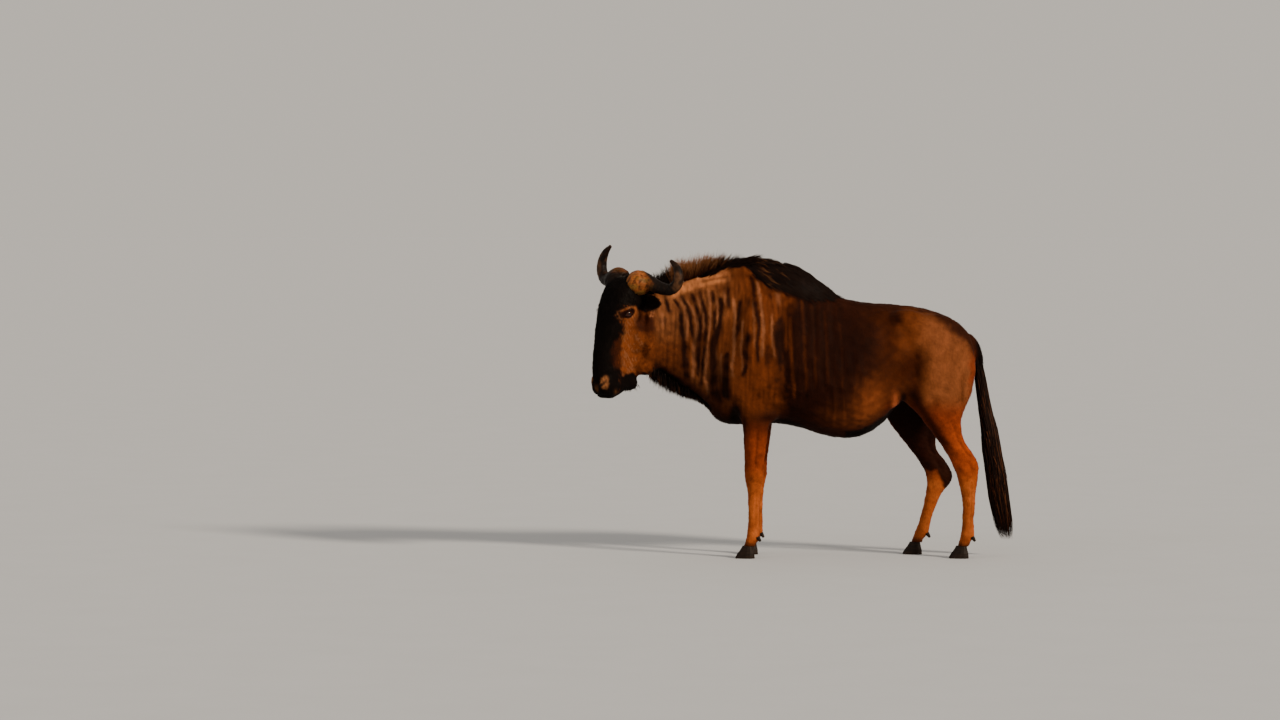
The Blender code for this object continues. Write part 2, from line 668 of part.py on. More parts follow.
def claw_ring(z, toe_x, length, centre_y, half_width, inner_side):
    """A hoof claw's outline at one height: flat towards its twin, pointed at the toe."""
    ring = []
    for index in range(CLAW_SIDES):
        angle = 2 * math.pi * index / CLAW_SIDES
        t = (1 - math.cos(angle)) / 2
        width = math.sin(angle) * half_width * (0.55 + 0.45 * min(1.0, 1.6 * t))
        if width * inner_side > 0:
            width *= CLAW_INNER_SHARE
        ring.append((toe_x + length * t, centre_y + width, z))
    return ring


def build_claw(name, toe_x, centre_y, inner_side, material, parts, cutters):
    rings = []
    for step in range(4):
        t = step / 3
        length = CLAW_LENGTH + (CLAW_TOP_LENGTH - CLAW_LENGTH) * t
        setback = CLAW_SETBACK * t
        half_width = CLAW_HALF_WIDTH * (1 - 0.10 * t)
        rings.append(claw_ring(CORONET_HEIGHT * t, toe_x + setback, length, centre_y,
                               half_width, inner_side))
    claw = new_object(name, close_mesh(name, rings), cutters)
    return finish_piece(claw, name, material, parts)


def build_foot(leg_name, rows, side, shift, fat_body, material, parts, cutters):
    """Two claws under the pastern and two dew claws behind the fetlock."""
    _, pastern_x, _, y, _ = rows[-1]
    _, fetlock_x, fetlock_depth, _, _ = rows[-3]
    toe_x = pastern_x + shift - TOE_AHEAD_OF_PASTERN
    for part_name, step in (("outer", 1), ("inner", -1)):
        centre_y = side * (y + step * CLAW_SPACING)
        build_claw("hoof_" + leg_name + "_" + part_name, toe_x, centre_y, -step * side,
                   material, parts, cutters)
        work = bmesh.new()
        bmesh.ops.create_cone(work, cap_ends=True, segments=8, radius1=DEW_CLAW_RADIUS,
                              radius2=DEW_CLAW_RADIUS * DEW_CLAW_TIP_SHARE,
                              depth=DEW_CLAW_LENGTH)
        place = Vector((fetlock_x + shift + fetlock_depth * DEW_CLAW_REACH,
                        side * (y + step * DEW_CLAW_SPACING), DEW_CLAW_HEIGHT))
        matrix = Matrix.Translation(place) @ Matrix.Rotation(math.radians(DEW_CLAW_TILT), 4, "Y")
        bmesh.ops.transform(work, matrix=matrix, verts=work.verts)
        mesh = bpy.data.meshes.new("dew_claw")
        work.to_mesh(mesh)
        work.free()
        dew_claw = new_object("dew_claw", mesh, cutters)
        fit_against(dew_claw, fat_body)
        finish_piece(dew_claw, "dew_claw_" + leg_name + "_" + part_name, material, parts)


def build_hanging(name, rows, sides, steps, cutters):
    """A round strand that hangs down: the tail's dock or its tassel."""
    rings = []
    for z, x, half_depth, half_width in smooth_rows(rows, steps):
        rings.append(slice_ring((x - half_depth, z), (x + half_depth, z), 0.0, half_width, 0.0,
                                sides))
    return new_object(name, close_mesh(name, rings), cutters)


def build_fringe(name, rows, sides, steps, cutters):
    """Long hair that stands on a line of the body: sections from its tip to its root."""
    rings = []
    for tip_x, tip_z, root_x, root_z, y, half_width in smooth_rows(rows, steps):
        rings.append(slice_ring((tip_x, tip_z), (root_x, root_z), y, half_width, 0.35, sides))
    return new_object(name, close_mesh(name, rings), cutters)


def part_flesh(flesh, materials, parts, cutters):
    """Parts the whole flesh with thin cuts and files the head, neck, trunk and legs."""
    head_point_on_cut, head_way = HEAD_CUT
    neck_point_on_cut, neck_way = NECK_CUT
    head_side = half_space("head_side", head_point_on_cut + head_way * GAP, head_way, cutters)
    body_side = half_space("body_side", head_point_on_cut, -head_way, cutters)
    neck_side = half_space("neck_side", neck_point_on_cut + neck_way * GAP, neck_way, cutters)
    trunk_side = half_space("trunk_side", neck_point_on_cut, -neck_way, cutters)

    head = copy_of(flesh, "head", cutters)
    boolean(head, head_side, "INTERSECT")
    neck = copy_of(flesh, "neck", cutters)
    boolean(neck, body_side, "INTERSECT")
    boolean(neck, neck_side, "INTERSECT")
    trunk = copy_of(flesh, "trunk", cutters)
    boolean(trunk, trunk_side, "INTERSECT")

    legs = []
    boxes = {
        "foreleg": (FORELEG_CUT_X, FORELEG_CUT_Z, KNEE_CUT_Z),
        "hindleg": (HINDLEG_CUT_X, HIND_CUT_Z, HOCK_CUT_Z),
    }
    for kind, ((front, back), top, joint) in boxes.items():
        for side in (-1, 1):
            near = -LEG_CUT_REACH if side < 0 else GAP
            far = -GAP if side < 0 else LEG_CUT_REACH
            suffix = "_left" if side < 0 else "_right"
            upper_box = box_cutter(kind + "_upper_box", (front, near, joint + GAP),
                                   (back, far, top), cutters)
            lower_box = box_cutter(kind + "_lower_box", (front, near, -1.0),
                                   (back, far, joint), cutters)
            away_box = box_cutter(kind + "_away_box", (front - GAP, near - GAP, -1.0),
                                  (back + GAP, far + GAP, top + GAP), cutters)
            upper = copy_of(flesh, kind + suffix + "_upper", cutters)
            boolean(upper, upper_box, "INTERSECT")
            lower = copy_of(flesh, kind + suffix + "_lower", cutters)
            boolean(lower, lower_box, "INTERSECT")
            boolean(trunk, away_box, "DIFFERENCE")
            legs += [upper, lower]
    for thing in [head, neck, trunk] + legs:
        tidy_mesh(thing)
        finish_piece(thing, thing.name, materials["coat"], parts)


def rest_on_origin(parts):
    """Moves every part so that the middle of the bounding box's floor is the origin."""
    corners = [vert.co for thing in parts.objects for vert in thing.data.vertices]
    low = Vector([min(corner[axis] for corner in corners) for axis in range(3)])
    high = Vector([max(corner[axis] for corner in corners) for axis in range(3)])
    middle = (low + high) / 2
    move = Matrix.Translation((-middle.x, -middle.y, -low.z))
    for thing in parts.objects:
        thing.data.transform(move)


def build_wildebeest():
    for thing in list(bpy.data.objects):
        bpy.data.objects.remove(thing, do_unlink=True)
    parts = bpy.data.collections.new("wildebeest")
    cutters = bpy.data.collections.new("cutters")
    bpy.context.scene.collection.children.link(parts)
    bpy.context.scene.collection.children.link(cutters)
    materials = {name: make_material(name) for name in COLOURS}

    flesh = build_flesh(cutters)
    fat_body = make_cutter(copy_of(flesh, "fat_body", cutters))
    fatten(fat_body, GAP)
    for side in (1, -1):
        build_eye(side, flesh, materials["eye"], parts, cutters)
        build_horn(side, fat_body, materials["horn"], parts, cutters)
    build_ear(1, LEFT_EAR, fat_body, materials["dark_coat"], parts, cutters)
    build_ear(-1, RIGHT_EAR, fat_body, materials["dark_coat"], parts, cutters)

    feet = (("front_left", FORELEG, -1, 0.0), ("front_right", FORELEG, 1, FAR_FORELEG_SHIFT),
            ("hind_left", HIND_LEFT, -1, 0.0), ("hind_right", HIND_RIGHT, 1, 0.0))
    for leg_name, rows, side, shift in feet:
        build_foot(leg_name, rows, side, shift, fat_body, materials["hoof"], parts, cutters)

    dock = build_hanging("tail_dock", TAIL_DOCK, 10, 7, cutters)
    tassel = build_hanging("tail_tassel", TASSEL, 12, 10, cutters)
    fat_dock = make_cutter(copy_of(dock, "fat_dock", cutters))
    fatten(fat_dock, GAP)
    fit_against(dock, fat_body)
    finish_piece(dock, "tail_dock", materials["coat"], parts)
    fit_against(tassel, fat_body)
    fit_against(tassel, fat_dock)
    finish_piece(tassel, "tail_tassel", materials["long_hair"], parts)

    mane = build_fringe("mane", MANE_SLICES, 12, 15, cutters)
    fit_against(mane, fat_body)
    finish_piece(mane, "mane", materials["long_hair"], parts)
    beard = build_fringe("beard", BEARD_SLICES, 10, 8, cutters)
    fit_against(beard, fat_body)
    finish_piece(beard, "beard", materials["long_hair"], parts)

    part_flesh(flesh, materials, parts, cutters)
    for thing in list(cutters.objects):
        bpy.data.objects.remove(thing)
    rest_on_origin(parts)


build_wildebeest()
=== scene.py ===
"""Looks of the wildebeest: skin, coat, long hair, face, horns, hooves, floor, light and camera.

The script works in the animal's design frame, in metres: -X is where it walks to, its left side
faces -Y, and the ground is z = 0.  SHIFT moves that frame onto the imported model.
"""
import math
from contextlib import contextmanager

import bmesh
import bpy
import numpy as np
from mathutils import Matrix, Vector
from mathutils.bvhtree import BVHTree


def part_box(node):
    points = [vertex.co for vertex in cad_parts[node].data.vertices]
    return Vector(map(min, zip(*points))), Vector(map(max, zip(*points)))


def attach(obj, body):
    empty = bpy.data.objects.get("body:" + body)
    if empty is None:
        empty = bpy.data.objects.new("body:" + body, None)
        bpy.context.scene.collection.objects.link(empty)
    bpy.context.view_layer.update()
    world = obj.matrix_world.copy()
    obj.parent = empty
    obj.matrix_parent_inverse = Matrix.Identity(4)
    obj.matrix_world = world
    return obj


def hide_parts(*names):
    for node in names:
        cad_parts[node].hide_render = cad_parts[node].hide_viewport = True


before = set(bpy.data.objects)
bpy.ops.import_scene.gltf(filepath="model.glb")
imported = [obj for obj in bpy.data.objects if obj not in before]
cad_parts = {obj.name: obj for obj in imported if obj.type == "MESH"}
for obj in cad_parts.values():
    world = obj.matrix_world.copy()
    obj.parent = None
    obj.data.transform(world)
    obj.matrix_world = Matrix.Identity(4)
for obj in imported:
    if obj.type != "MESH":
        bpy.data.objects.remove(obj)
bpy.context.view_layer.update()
RNG = np.random.default_rng(7)

# ---------------------------------------------------------------- head frame and landmarks

HEAD_ORIGIN = np.array((-0.850, -0.190, 0.0))
HEAD_YAW = math.radians(45.0)
HEAD_ROLL = math.radians(3.0)
HEAD_ROLL_HEIGHT = 1.15
EYE_PLACE = (-0.064, 0.084, 1.127)      # u forward, v to the animal's left, w up
EYE_RADIUS = 0.0220
EYE_SINK = 0.005                        # how far the ball lies behind the place of its solid


def head_point(u, v, w):
    """A point of the head's own frame in the design frame; takes numbers or arrays."""
    lift = np.asarray(w) - HEAD_ROLL_HEIGHT
    side = v * math.cos(HEAD_ROLL) + lift * math.sin(HEAD_ROLL)
    height = HEAD_ROLL_HEIGHT - v * math.sin(HEAD_ROLL) + lift * math.cos(HEAD_ROLL)
    x = -u * math.cos(HEAD_YAW) + side * math.sin(HEAD_YAW)
    y = -u * math.sin(HEAD_YAW) - side * math.cos(HEAD_YAW)
    return HEAD_ORIGIN + np.stack(np.broadcast_arrays(x, y, height), axis=-1)


HEAD_ZERO = head_point(0.0, 0.0, 0.0)
HEAD_AXES = np.stack([head_point(*axis) - HEAD_ZERO for axis in ((1, 0, 0), (0, 1, 0), (0, 0, 1))])
eye_low, eye_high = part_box("eye_left")
SHIFT = (np.array(eye_low) + np.array(eye_high)) / 2 - head_point(*EYE_PLACE)

BACK = ((-0.66, 1.20), (-0.585, 1.238), (-0.507, 1.268), (-0.415, 1.296), (-0.33, 1.316),
        (-0.23, 1.335), (-0.10, 1.345), (0.00, 1.335), (0.09, 1.288), (0.20, 1.210),
        (0.32, 1.180), (0.45, 1.169), (0.57, 1.158), (0.70, 1.124), (0.78, 1.080), (0.852, 0.985))
BELLY = ((-0.66, 0.88), (-0.60, 0.852), (-0.53, 0.800), (-0.445, 0.752), (-0.33, 0.645),
         (-0.22, 0.602), (-0.08, 0.612), (0.06, 0.586), (0.17, 0.550), (0.28, 0.541),
         (0.36, 0.562), (0.44, 0.620), (0.50, 0.700), (0.60, 0.750), (0.75, 0.770), (0.852, 0.90))
BACK_X, BACK_Z = np.array(BACK).T
BELLY_X, BELLY_Z = np.array(BELLY).T
HEAD_CUT = (np.array((-0.650, -0.070, 1.05)), np.array((-0.9243, -0.3818, 0.0)))

NOSTRIL = ((0.047, 0.030, 0.795), (0.041, 0.045, 0.806), (0.030, 0.055, 0.822))

HORN_LINE = np.array([
    (0.020, 1.280, -0.148, 0.034), (0.070, 1.290, -0.150, 0.038), (0.120, 1.275, -0.163, 0.034),
    (0.170, 1.257, -0.184, 0.029), (0.216, 1.257, -0.204, 0.0260), (0.247, 1.290, -0.214, 0.0245),
    (0.249, 1.332, -0.217, 0.0215), (0.230, 1.370, -0.217, 0.0160), (0.196, 1.399, -0.215, 0.0070)])
HORN_STEPS = 90
HORN_SIDE_LIFT = 0.022
BOSS_SIZE = (0.058, 0.062, 0.055)
BOSS_PLACE = (0.070, 1.264, -0.140)
# Base and tip of the left and the right ear.
EARS = tuple(tuple(head_point(*end) for end in ends) for ends in (
    ((-0.180, 0.062, 1.188), (-0.150, 0.207, 1.180)),
    ((-0.195, -0.070, 1.198), (-0.275, -0.205, 1.150))))
EAR_HALF_WIDTH = 0.035
EAR_CUP = 0.013

# Lower edge of the black mane on both sides, seen from the side.
MANE_EDGE = ((-0.430, 1.320), (-0.330, 1.332), (-0.235, 1.350), (-0.120, 1.268), (-0.040, 1.238),
             (0.077, 1.205), (0.175, 1.192), (0.215, 1.208))
MANE_EDGE_X, MANE_EDGE_Z = np.array(MANE_EDGE).T
MANE_CREST = ((-0.335, 1.380), (-0.230, 1.384), (-0.090, 1.376), (-0.020, 1.355), (0.070, 1.307),
              (0.140, 1.252), (0.200, 1.214))
MANE_CREST_X, MANE_CREST_Z = np.array(MANE_CREST).T
MANE_START = -0.345                     # in front of it the mane stands up in spikes
TAIL_LINE = ((0.845, 0.0, 1.000), (0.872, 0.0, 0.930), (0.880, 0.0, 0.840), (0.902, 0.0, 0.660))

# ---------------------------------------------------------------- number tools

RIPPLE_WAVES = 7     # sine waves in one ripple


def unit(a):
    return a / np.maximum(np.linalg.norm(a, axis=-1, keepdims=True), 1e-9)


def ease(start, end, x):
    """0 before start, 1 after end, smooth between."""
    t = np.clip((x - start) / (end - start), 0.0, 1.0)
    return t * t * (3 - 2 * t)


def bell(x, middle, width):
    return np.exp(-((x - middle) / width) ** 2)


def mix(a, b, weight):
    return a + (np.asarray(b) - a) * np.asarray(weight)[..., None]


def limit(values, top=1.0):
    return np.clip(values, 0, top)


def patches(a, b, rows):
    """Soft oval patches added up: strength, then middle and half width along a and b."""
    total = 0
    for strength, a_middle, b_middle, a_width, b_width in rows:
        across, over = (a - a_middle) / a_width, (b - b_middle) / b_width
        total = total + strength * np.exp(-across ** 2 - over ** 2)
    return total


def layered(ground, layers):
    """The ground colour with each layer's colour laid over it by its share, in order."""
    colour = np.array(ground)
    for shade, share in layers:
        colour = mix(colour, shade, share)
    return colour


def ripple(p, size, seed):
    """Smooth noise in about -1..1 with features of the given size, as a sum of sine waves."""
    rng = np.random.default_rng(seed)
    ways = unit(rng.normal(size=(RIPPLE_WAVES, 3)))
    pitch = (0.6 + 0.9 * rng.random(RIPPLE_WAVES)) * 2 * math.pi / size
    phase = rng.random(RIPPLE_WAVES) * 2 * math.pi
    return np.sin(p @ (ways * pitch[:, None]).T + phase).sum(axis=1) / math.sqrt(RIPPLE_WAVES) * 0.8


def spline(rows, count):
    """count + 1 rows on a Catmull-Rom curve through the given rows."""
    rows = np.asarray(rows, float)
    ends = np.vstack([2 * rows[0] - rows[1], rows, 2 * rows[-1] - rows[-2]])
    place = np.linspace(0, len(rows) - 1, count + 1)
    index = np.minimum(place.astype(int), len(rows) - 2)
    t = (place - index)[:, None]
    a, b, c, d = (ends[index + step] for step in range(4))
    return 0.5 * (2 * b + (c - a) * t + (2 * a - 5 * b + 4 * c - d) * t**2
                  + (3 * b - a - 3 * c + d) * t**3)


def near_line(points, line):
    """Distance of each point from a polyline."""
    nearest = np.full(len(points), 9.0)
    for start, end in zip(line, line[1:]):
        start, end = np.array(start), np.array(end)
        along = end - start
        share = limit(((points - start) @ along) / (along @ along))
        nearest = np.minimum(nearest, np.linalg.norm(points - start - share[:, None] * along, axis=1))
    return nearest


# ---------------------------------------------------------------- mesh tools

SHRINK, GROW = 0.5, -0.52     # steps of one round of smoothing


def new_object(name, data):
    thing = bpy.data.objects.new(name, data)
    bpy.context.scene.collection.objects.link(thing)
    return thing


def mesh_object(name, verts, faces):
    """A new object from design-frame points and arrays of faces, each array one polygon size."""
    mesh = bpy.data.meshes.new(name)
    verts = np.asarray(verts, float) + SHIFT
    groups = [np.asarray(group, np.int32) for group in faces if len(group)]
    loops = np.concatenate([group.ravel() for group in groups])
    sizes = np.concatenate([np.full(len(group), group.shape[1], np.int32) for group in groups])
    starts = np.concatenate([[0], np.cumsum(sizes)[:-1]]).astype(np.int32)
    mesh.vertices.add(len(verts))
    mesh.vertices.foreach_set("co", verts.astype(np.float32).ravel())
    mesh.loops.add(len(loops))
    mesh.loops.foreach_set("vertex_index", loops)
    mesh.polygons.add(len(sizes))
    mesh.polygons.foreach_set("loop_start", starts)
    mesh.polygons.foreach_set("loop_total", sizes)
    mesh.update(calc_edges=True)
    mesh.polygons.foreach_set("use_smooth", np.full(len(sizes), True))
    return new_object(name, mesh)


def read(items, key, width, kind=np.float32):
    """One property of all the items, as rows of width numbers."""
    flat = np.empty(len(items) * width, kind)
    items.foreach_get(key, flat)
    return flat.reshape(-1, width)


def points_of(thing):
    """The mesh's points in the design frame."""
    return read(thing.data.vertices, "co", 3).astype(float) - SHIFT


def set_points(thing, points):
    thing.data.vertices.foreach_set("co", (points + SHIFT).astype(np.float32).ravel())
    thing.data.update()


def normals_of(thing):
    return read(thing.data.vertex_normals, "vector", 3).astype(float)


def edges_of(thing):
    return read(thing.data.edges, "vertices", 2, np.int32)


def paint(thing, colours):
    """Stores a colour for each point, read by the materials."""
    attribute = thing.data.attributes.new("stored_colour", "FLOAT_COLOR", "POINT")
    rgba = np.ones((len(colours), 4), np.float32)
    rgba[:, :3] = colours
    attribute.data.foreach_set("color", rgba.ravel())


def smooth_mesh(thing, rounds, weight=None):
    """Smoothing that keeps the volume: each round shrinks, then grows back."""
    points = points_of(thing)
    edges = edges_of(thing)
    count = len(points)
    degree = np.bincount(edges.ravel(), minlength=count)[:, None]
    for turn in range(2 * rounds):
        mean = np.empty_like(points)
        for axis in range(3):
            mean[:, axis] = (np.bincount(edges[:, 0], points[edges[:, 1], axis], count)
                             + np.bincount(edges[:, 1], points[edges[:, 0], axis], count))
        step = (mean / np.maximum(degree, 1) - points) * (GROW if turn % 2 else SHRINK)
        points += step if weight is None else step * weight[:, None]
    set_points(thing, points)


def apply_modifiers(thing):
    graph = bpy.context.evaluated_depsgraph_get()
    mesh = bpy.data.meshes.new_from_object(thing.evaluated_get(graph))
    thing.modifiers.clear()
    thing.data = mesh


def shade_smooth(thing):
    thing.data.polygons.foreach_set("use_smooth", np.full(len(thing.data.polygons), True))


def voxel_remesh(thing, size):
    fuse = thing.modifiers.new("fuse", "REMESH")
    fuse.mode = "VOXEL"
    fuse.voxel_size = size
    apply_modifiers(thing)
    shade_smooth(thing)


@contextmanager
def editing(mesh):
    """The mesh opened for editing, and written back at the end."""
    work = bmesh.new()
    work.from_mesh(mesh)
    work.verts.ensure_lookup_table()
    yield work
    work.to_mesh(mesh)
    work.free()


def refine(thing, chosen):
    """Halves the edges of the faces all of whose points are chosen."""
    with editing(thing.data) as work:
        faces = [face for face in work.faces if all(chosen[vert.index] for vert in face.verts)]
        edges = list({edge for face in faces for edge in face.edges})
        bmesh.ops.subdivide_edges(work, edges=edges, cuts=1, use_grid_fill=True)
        bmesh.ops.triangulate(work, faces=[face for face in work.faces if len(face.verts) > 4])
        for face in work.faces:
            face.smooth = True


def ring_tube(rings, capped=True):
    """Points and faces of a tube through rings, an array of shape (rings, sides, 3)."""
    count, sides = rings.shape[:2]
    points = rings.reshape(-1, 3)
    row = np.arange(count - 1)[:, None] * sides
    side = np.arange(sides)[None, :]
    after = (side + 1) % sides
    quads = np.stack([row + side, row + after, row + sides + after, row + sides + side], -1)
    groups = [quads.reshape(-1, 4)]
    if capped:
        first, last = (rings[ring].mean(axis=0) for ring in (0, count - 1))
        hub = np.full(sides, len(points))
        end = (count - 1) * sides
        groups.append(np.vstack([np.stack([after[0], side[0], hub], -1),
                                 np.stack([end + side[0], end + after[0], hub + 1], -1)]))
        points = np.vstack([points, first, last])
    return points, groups


def keep_largest(thing):
    """Drops loose crumbs: only the piece of surface with the most points stays."""
    edges = edges_of(thing)
    label = np.arange(len(thing.data.vertices))
    before = None
    while before is None or (label != before).any():
        before = label.copy()
        low = np.minimum(label[edges[:, 0]], label[edges[:, 1]])
        np.minimum.at(label, edges[:, 0], low)
        np.minimum.at(label, edges[:, 1], low)
        label = label[label]
    crumbs = np.flatnonzero(label != np.bincount(label).argmax())
    if len(crumbs):
        with editing(thing.data) as work:
            bmesh.ops.delete(work, geom=[work.verts[index] for index in crumbs], context="VERTS")


def turn_outward(thing):
    with editing(thing.data) as work:
        bmesh.ops.recalc_face_normals(work, faces=work.faces)


def dress(thing, look):
    """Leaves the piece with one material."""
    thing.data.materials.clear()
    thing.data.materials.append(look)
    return thing


# ---------------------------------------------------------------- where things are


def to_head(points):
    return (points - HEAD_ZERO) @ HEAD_AXES.T


def head_weight(points):
    """0 on the neck, 1 on the head."""
    point, way = HEAD_CUT
    return ease(-0.025, 0.020, (points - point) @ way)


def height_share(points):
    """0 on the belly line and 1 on the back line."""
    top = np.interp(points[:, 0], BACK_X, BACK_Z)
    bottom = np.interp(points[:, 0], BELLY_X, BELLY_Z)
    return (points[:, 2] - bottom) / (top - bottom)


def leg_weight(points):
    """1 on the lower legs, fading to 0 at the elbow and the stifle."""
    x, y, z = points.T
    fore = (1 - ease(0.50, 0.66, z)) * ease(0.115, 0.085, np.abs(x + 0.155))
    hind = (1 - ease(0.50, 0.74, z)) * ease(0.42, 0.47, x) * ease(0.01, 0.04, np.abs(y))
    return np.maximum(fore, hind)


def mane_weight(points):
    """1 where the long black mane grows on the withers, 0 elsewhere."""
    x, _, z = points.T
    edge = np.interp(x, MANE_EDGE_X, MANE_EDGE_Z) + 0.006 * ripple(points, 0.06, 17)
    return ease(edge - 0.006, edge + 0.008, z) * ease(-0.430, -0.405, x) * ease(0.222, 0.210, x)


def ear_weight(points):
    """1 on the ears, 0 elsewhere."""
    weight = np.zeros(len(points))
    for base, tip in EARS:
        axis = tip - base
        share = ((points - base) @ axis) / (axis @ axis)
        off = np.linalg.norm(points - base - np.clip(share, 0, 1.05)[:, None] * axis, axis=1)
        weight = np.maximum(weight, ease(0.22, 0.34, share) * (off < 0.045))
    return weight


# ---------------------------------------------------------------- markings

NECK = (0.102, 0.0255, 0.0064)
NECK_LIGHT = (0.215, 0.074, 0.0250)
STRIPE = (0.0105, 0.0026, 0.0010)
# painted highlight: the lit strip along the top of the neck, under the mane
NECK_TOP_HIGHLIGHT = (0.440, 0.155, 0.054)
SHOULDER = (0.100, 0.0225, 0.0046)
# dark of the body's side, also the colour of the painted shade along the fronts of forearm and thigh
SIDE_DARK_AND_SHADE = (0.0095, 0.0021, 0.0008)
FLANK = (0.050, 0.0110, 0.0024)
RUMP = (0.180, 0.053, 0.0170)
RUMP_FRONT = (0.098, 0.0235, 0.0050)
# painted shade for the hollows of flank, hip and thigh
RUMP_HOLLOW_SHADE = (0.031, 0.0062, 0.0013)
BELLY_SIDE = (0.158, 0.0390, 0.0105)
LIGHT_STRIPE = (0.230, 0.084, 0.0340)
SIDE_STRIPE = (0.075, 0.0170, 0.0036)
DORSAL = (0.020, 0.0044, 0.0014)
THIGH = (0.120, 0.0145, 0.0026)
LEG = (0.222, 0.0350, 0.0060)
CANNON = (0.300, 0.070, 0.0130)
# painted highlight on the fold of skin before the stifle
FOLD_HIGHLIGHT = (0.370, 0.088, 0.0280)
UNDERSIDE = (0.0180, 0.0042, 0.0016)
FACE_BLACK = (0.0030, 0.0016, 0.0012)
CHEEK = (0.172, 0.042, 0.0090)
CHEEK_LIGHT = (0.255, 0.088, 0.034)
CHEEK_DARK = (0.026, 0.0055, 0.0018)
# the eye's paler rim, also the colour of the painted highlight on the cheekbone
EYE_RIM_AND_HIGHLIGHT = (0.205, 0.068, 0.022)
MUZZLE = (0.205, 0.076, 0.026)
# dark skin round the eye with painted shadow of the brow
EYE_DARK_AND_BROW_SHADOW = (0.0095, 0.0022, 0.0012)
EAR_TUFT = (0.210, 0.072, 0.028)
# black of mane, poll, jaw and tail, also the colour of the painted shadow at chest, crease, armpits and
# inner hind legs
BLACK_HAIR_AND_SHADOW = (0.0036, 0.0015, 0.0009)
NOSTRIL_BLACK = (0.004, 0.003, 0.003)
# painted shadow of the horn over the ears
EAR_HORN_SHADOW = (0.0075, 0.0036, 0.0024)
# Lower edge of the dark back, and the middle of the painted highlight along the top of the neck, as
# lengths and heights.
DORSAL_X = (0.16, 0.45, 0.55, 0.65, 0.74, 0.80, 0.84)
DORSAL_Z = (1.150, 1.150, 1.148, 1.110, 1.030, 0.990, 0.93)
BAND_X = (-0.56, -0.484, -0.438, -0.392, -0.346, -0.300, -0.250)
BAND_Z = (1.212, 1.242, 1.264, 1.272, 1.283, 1.290, 1.294)
STRIPE_PITCH = 0.041
# Stripes of neck and shoulder in millimetres: strength, then length, height and half width
# along each. They follow the folds of the hide.
DARK_STRIPES = (
    (0.90, ((-576, 1212, 5), (-569, 1171, 5), (-558, 1129, 6))),
    (0.95, ((-539, 1198, 5), (-518, 1161, 5), (-507, 1129, 6), (-502, 1078, 7), (-495, 1005, 7),
            (-486, 940, 12), (-482, 880, 12), (-477, 829, 7), (-470, 765, 6))),
    (0.85, ((-516, 1221, 4), (-493, 1184, 5), (-475, 1157, 5), (-465, 1115, 5), (-456, 1060, 4),
            (-452, 1014, 3))),
    (0.90, ((-452, 1217, 4), (-442, 1175, 6), (-431, 1143, 5), (-419, 1106, 5), (-415, 1051, 5),
            (-422, 995, 12), (-424, 940, 7), (-424, 885, 6), (-424, 834, 5))),
    (0.90, ((-419, 1230, 4), (-406, 1184, 5), (-396, 1147, 6), (-387, 1111, 6), (-387, 1065, 5),
            (-392, 1014, 5), (-396, 963, 6), (-403, 912, 4), (-408, 848, 6), (-410, 797, 4))),
    (0.55, ((-392, 1230, 4), (-385, 1194, 4), (-382, 1166, 3))),
    (0.85, ((-359, 1230, 4), (-355, 1184, 6), (-350, 1143, 4), (-350, 1083, 4), (-355, 1041, 4))),
    (0.97, ((-323, 1198, 4), (-318, 1166, 6), (-320, 1115, 5), (-327, 1074, 6), (-339, 1037, 13),
            (-353, 991, 15), (-359, 940, 13), (-357, 885, 16), (-355, 820, 18), (-348, 756, 21),
            (-336, 710, 23))),
    (0.80, ((-288, 1286, 4), (-286, 1240, 6), (-286, 1198, 6), (-286, 1147, 4))),
    (0.92, ((-290, 949, 4), (-297, 903, 10), (-300, 848, 16), (-302, 788, 18), (-295, 733, 18))),
    (0.85, ((-230, 1184, 5), (-235, 1152, 6), (-240, 1106, 4), (-242, 1060, 5), (-244, 1023, 3))),
    (0.95, ((-196, 1037, 7), (-200, 1000, 12), (-214, 963, 6), (-207, 926, 10), (-210, 880, 8),
            (-221, 839, 5))),
    (0.85, ((-182, 1295, 4), (-171, 1249, 6), (-168, 1203, 5), (-161, 1152, 7), (-152, 1106, 7),
            (-147, 1065, 5), (-157, 986, 4), (-150, 903, 3))),
    (0.70, ((-101, 1235, 4), (-90, 1189, 4))),
    (0.65, ((-106, 982, 6), (-104, 931, 12), (-106, 885, 10))),
    (0.85, ((-55, 1101, 6), (-60, 1055, 13), (-65, 995, 13), (-55, 940, 9), (-41, 894, 7))),
)
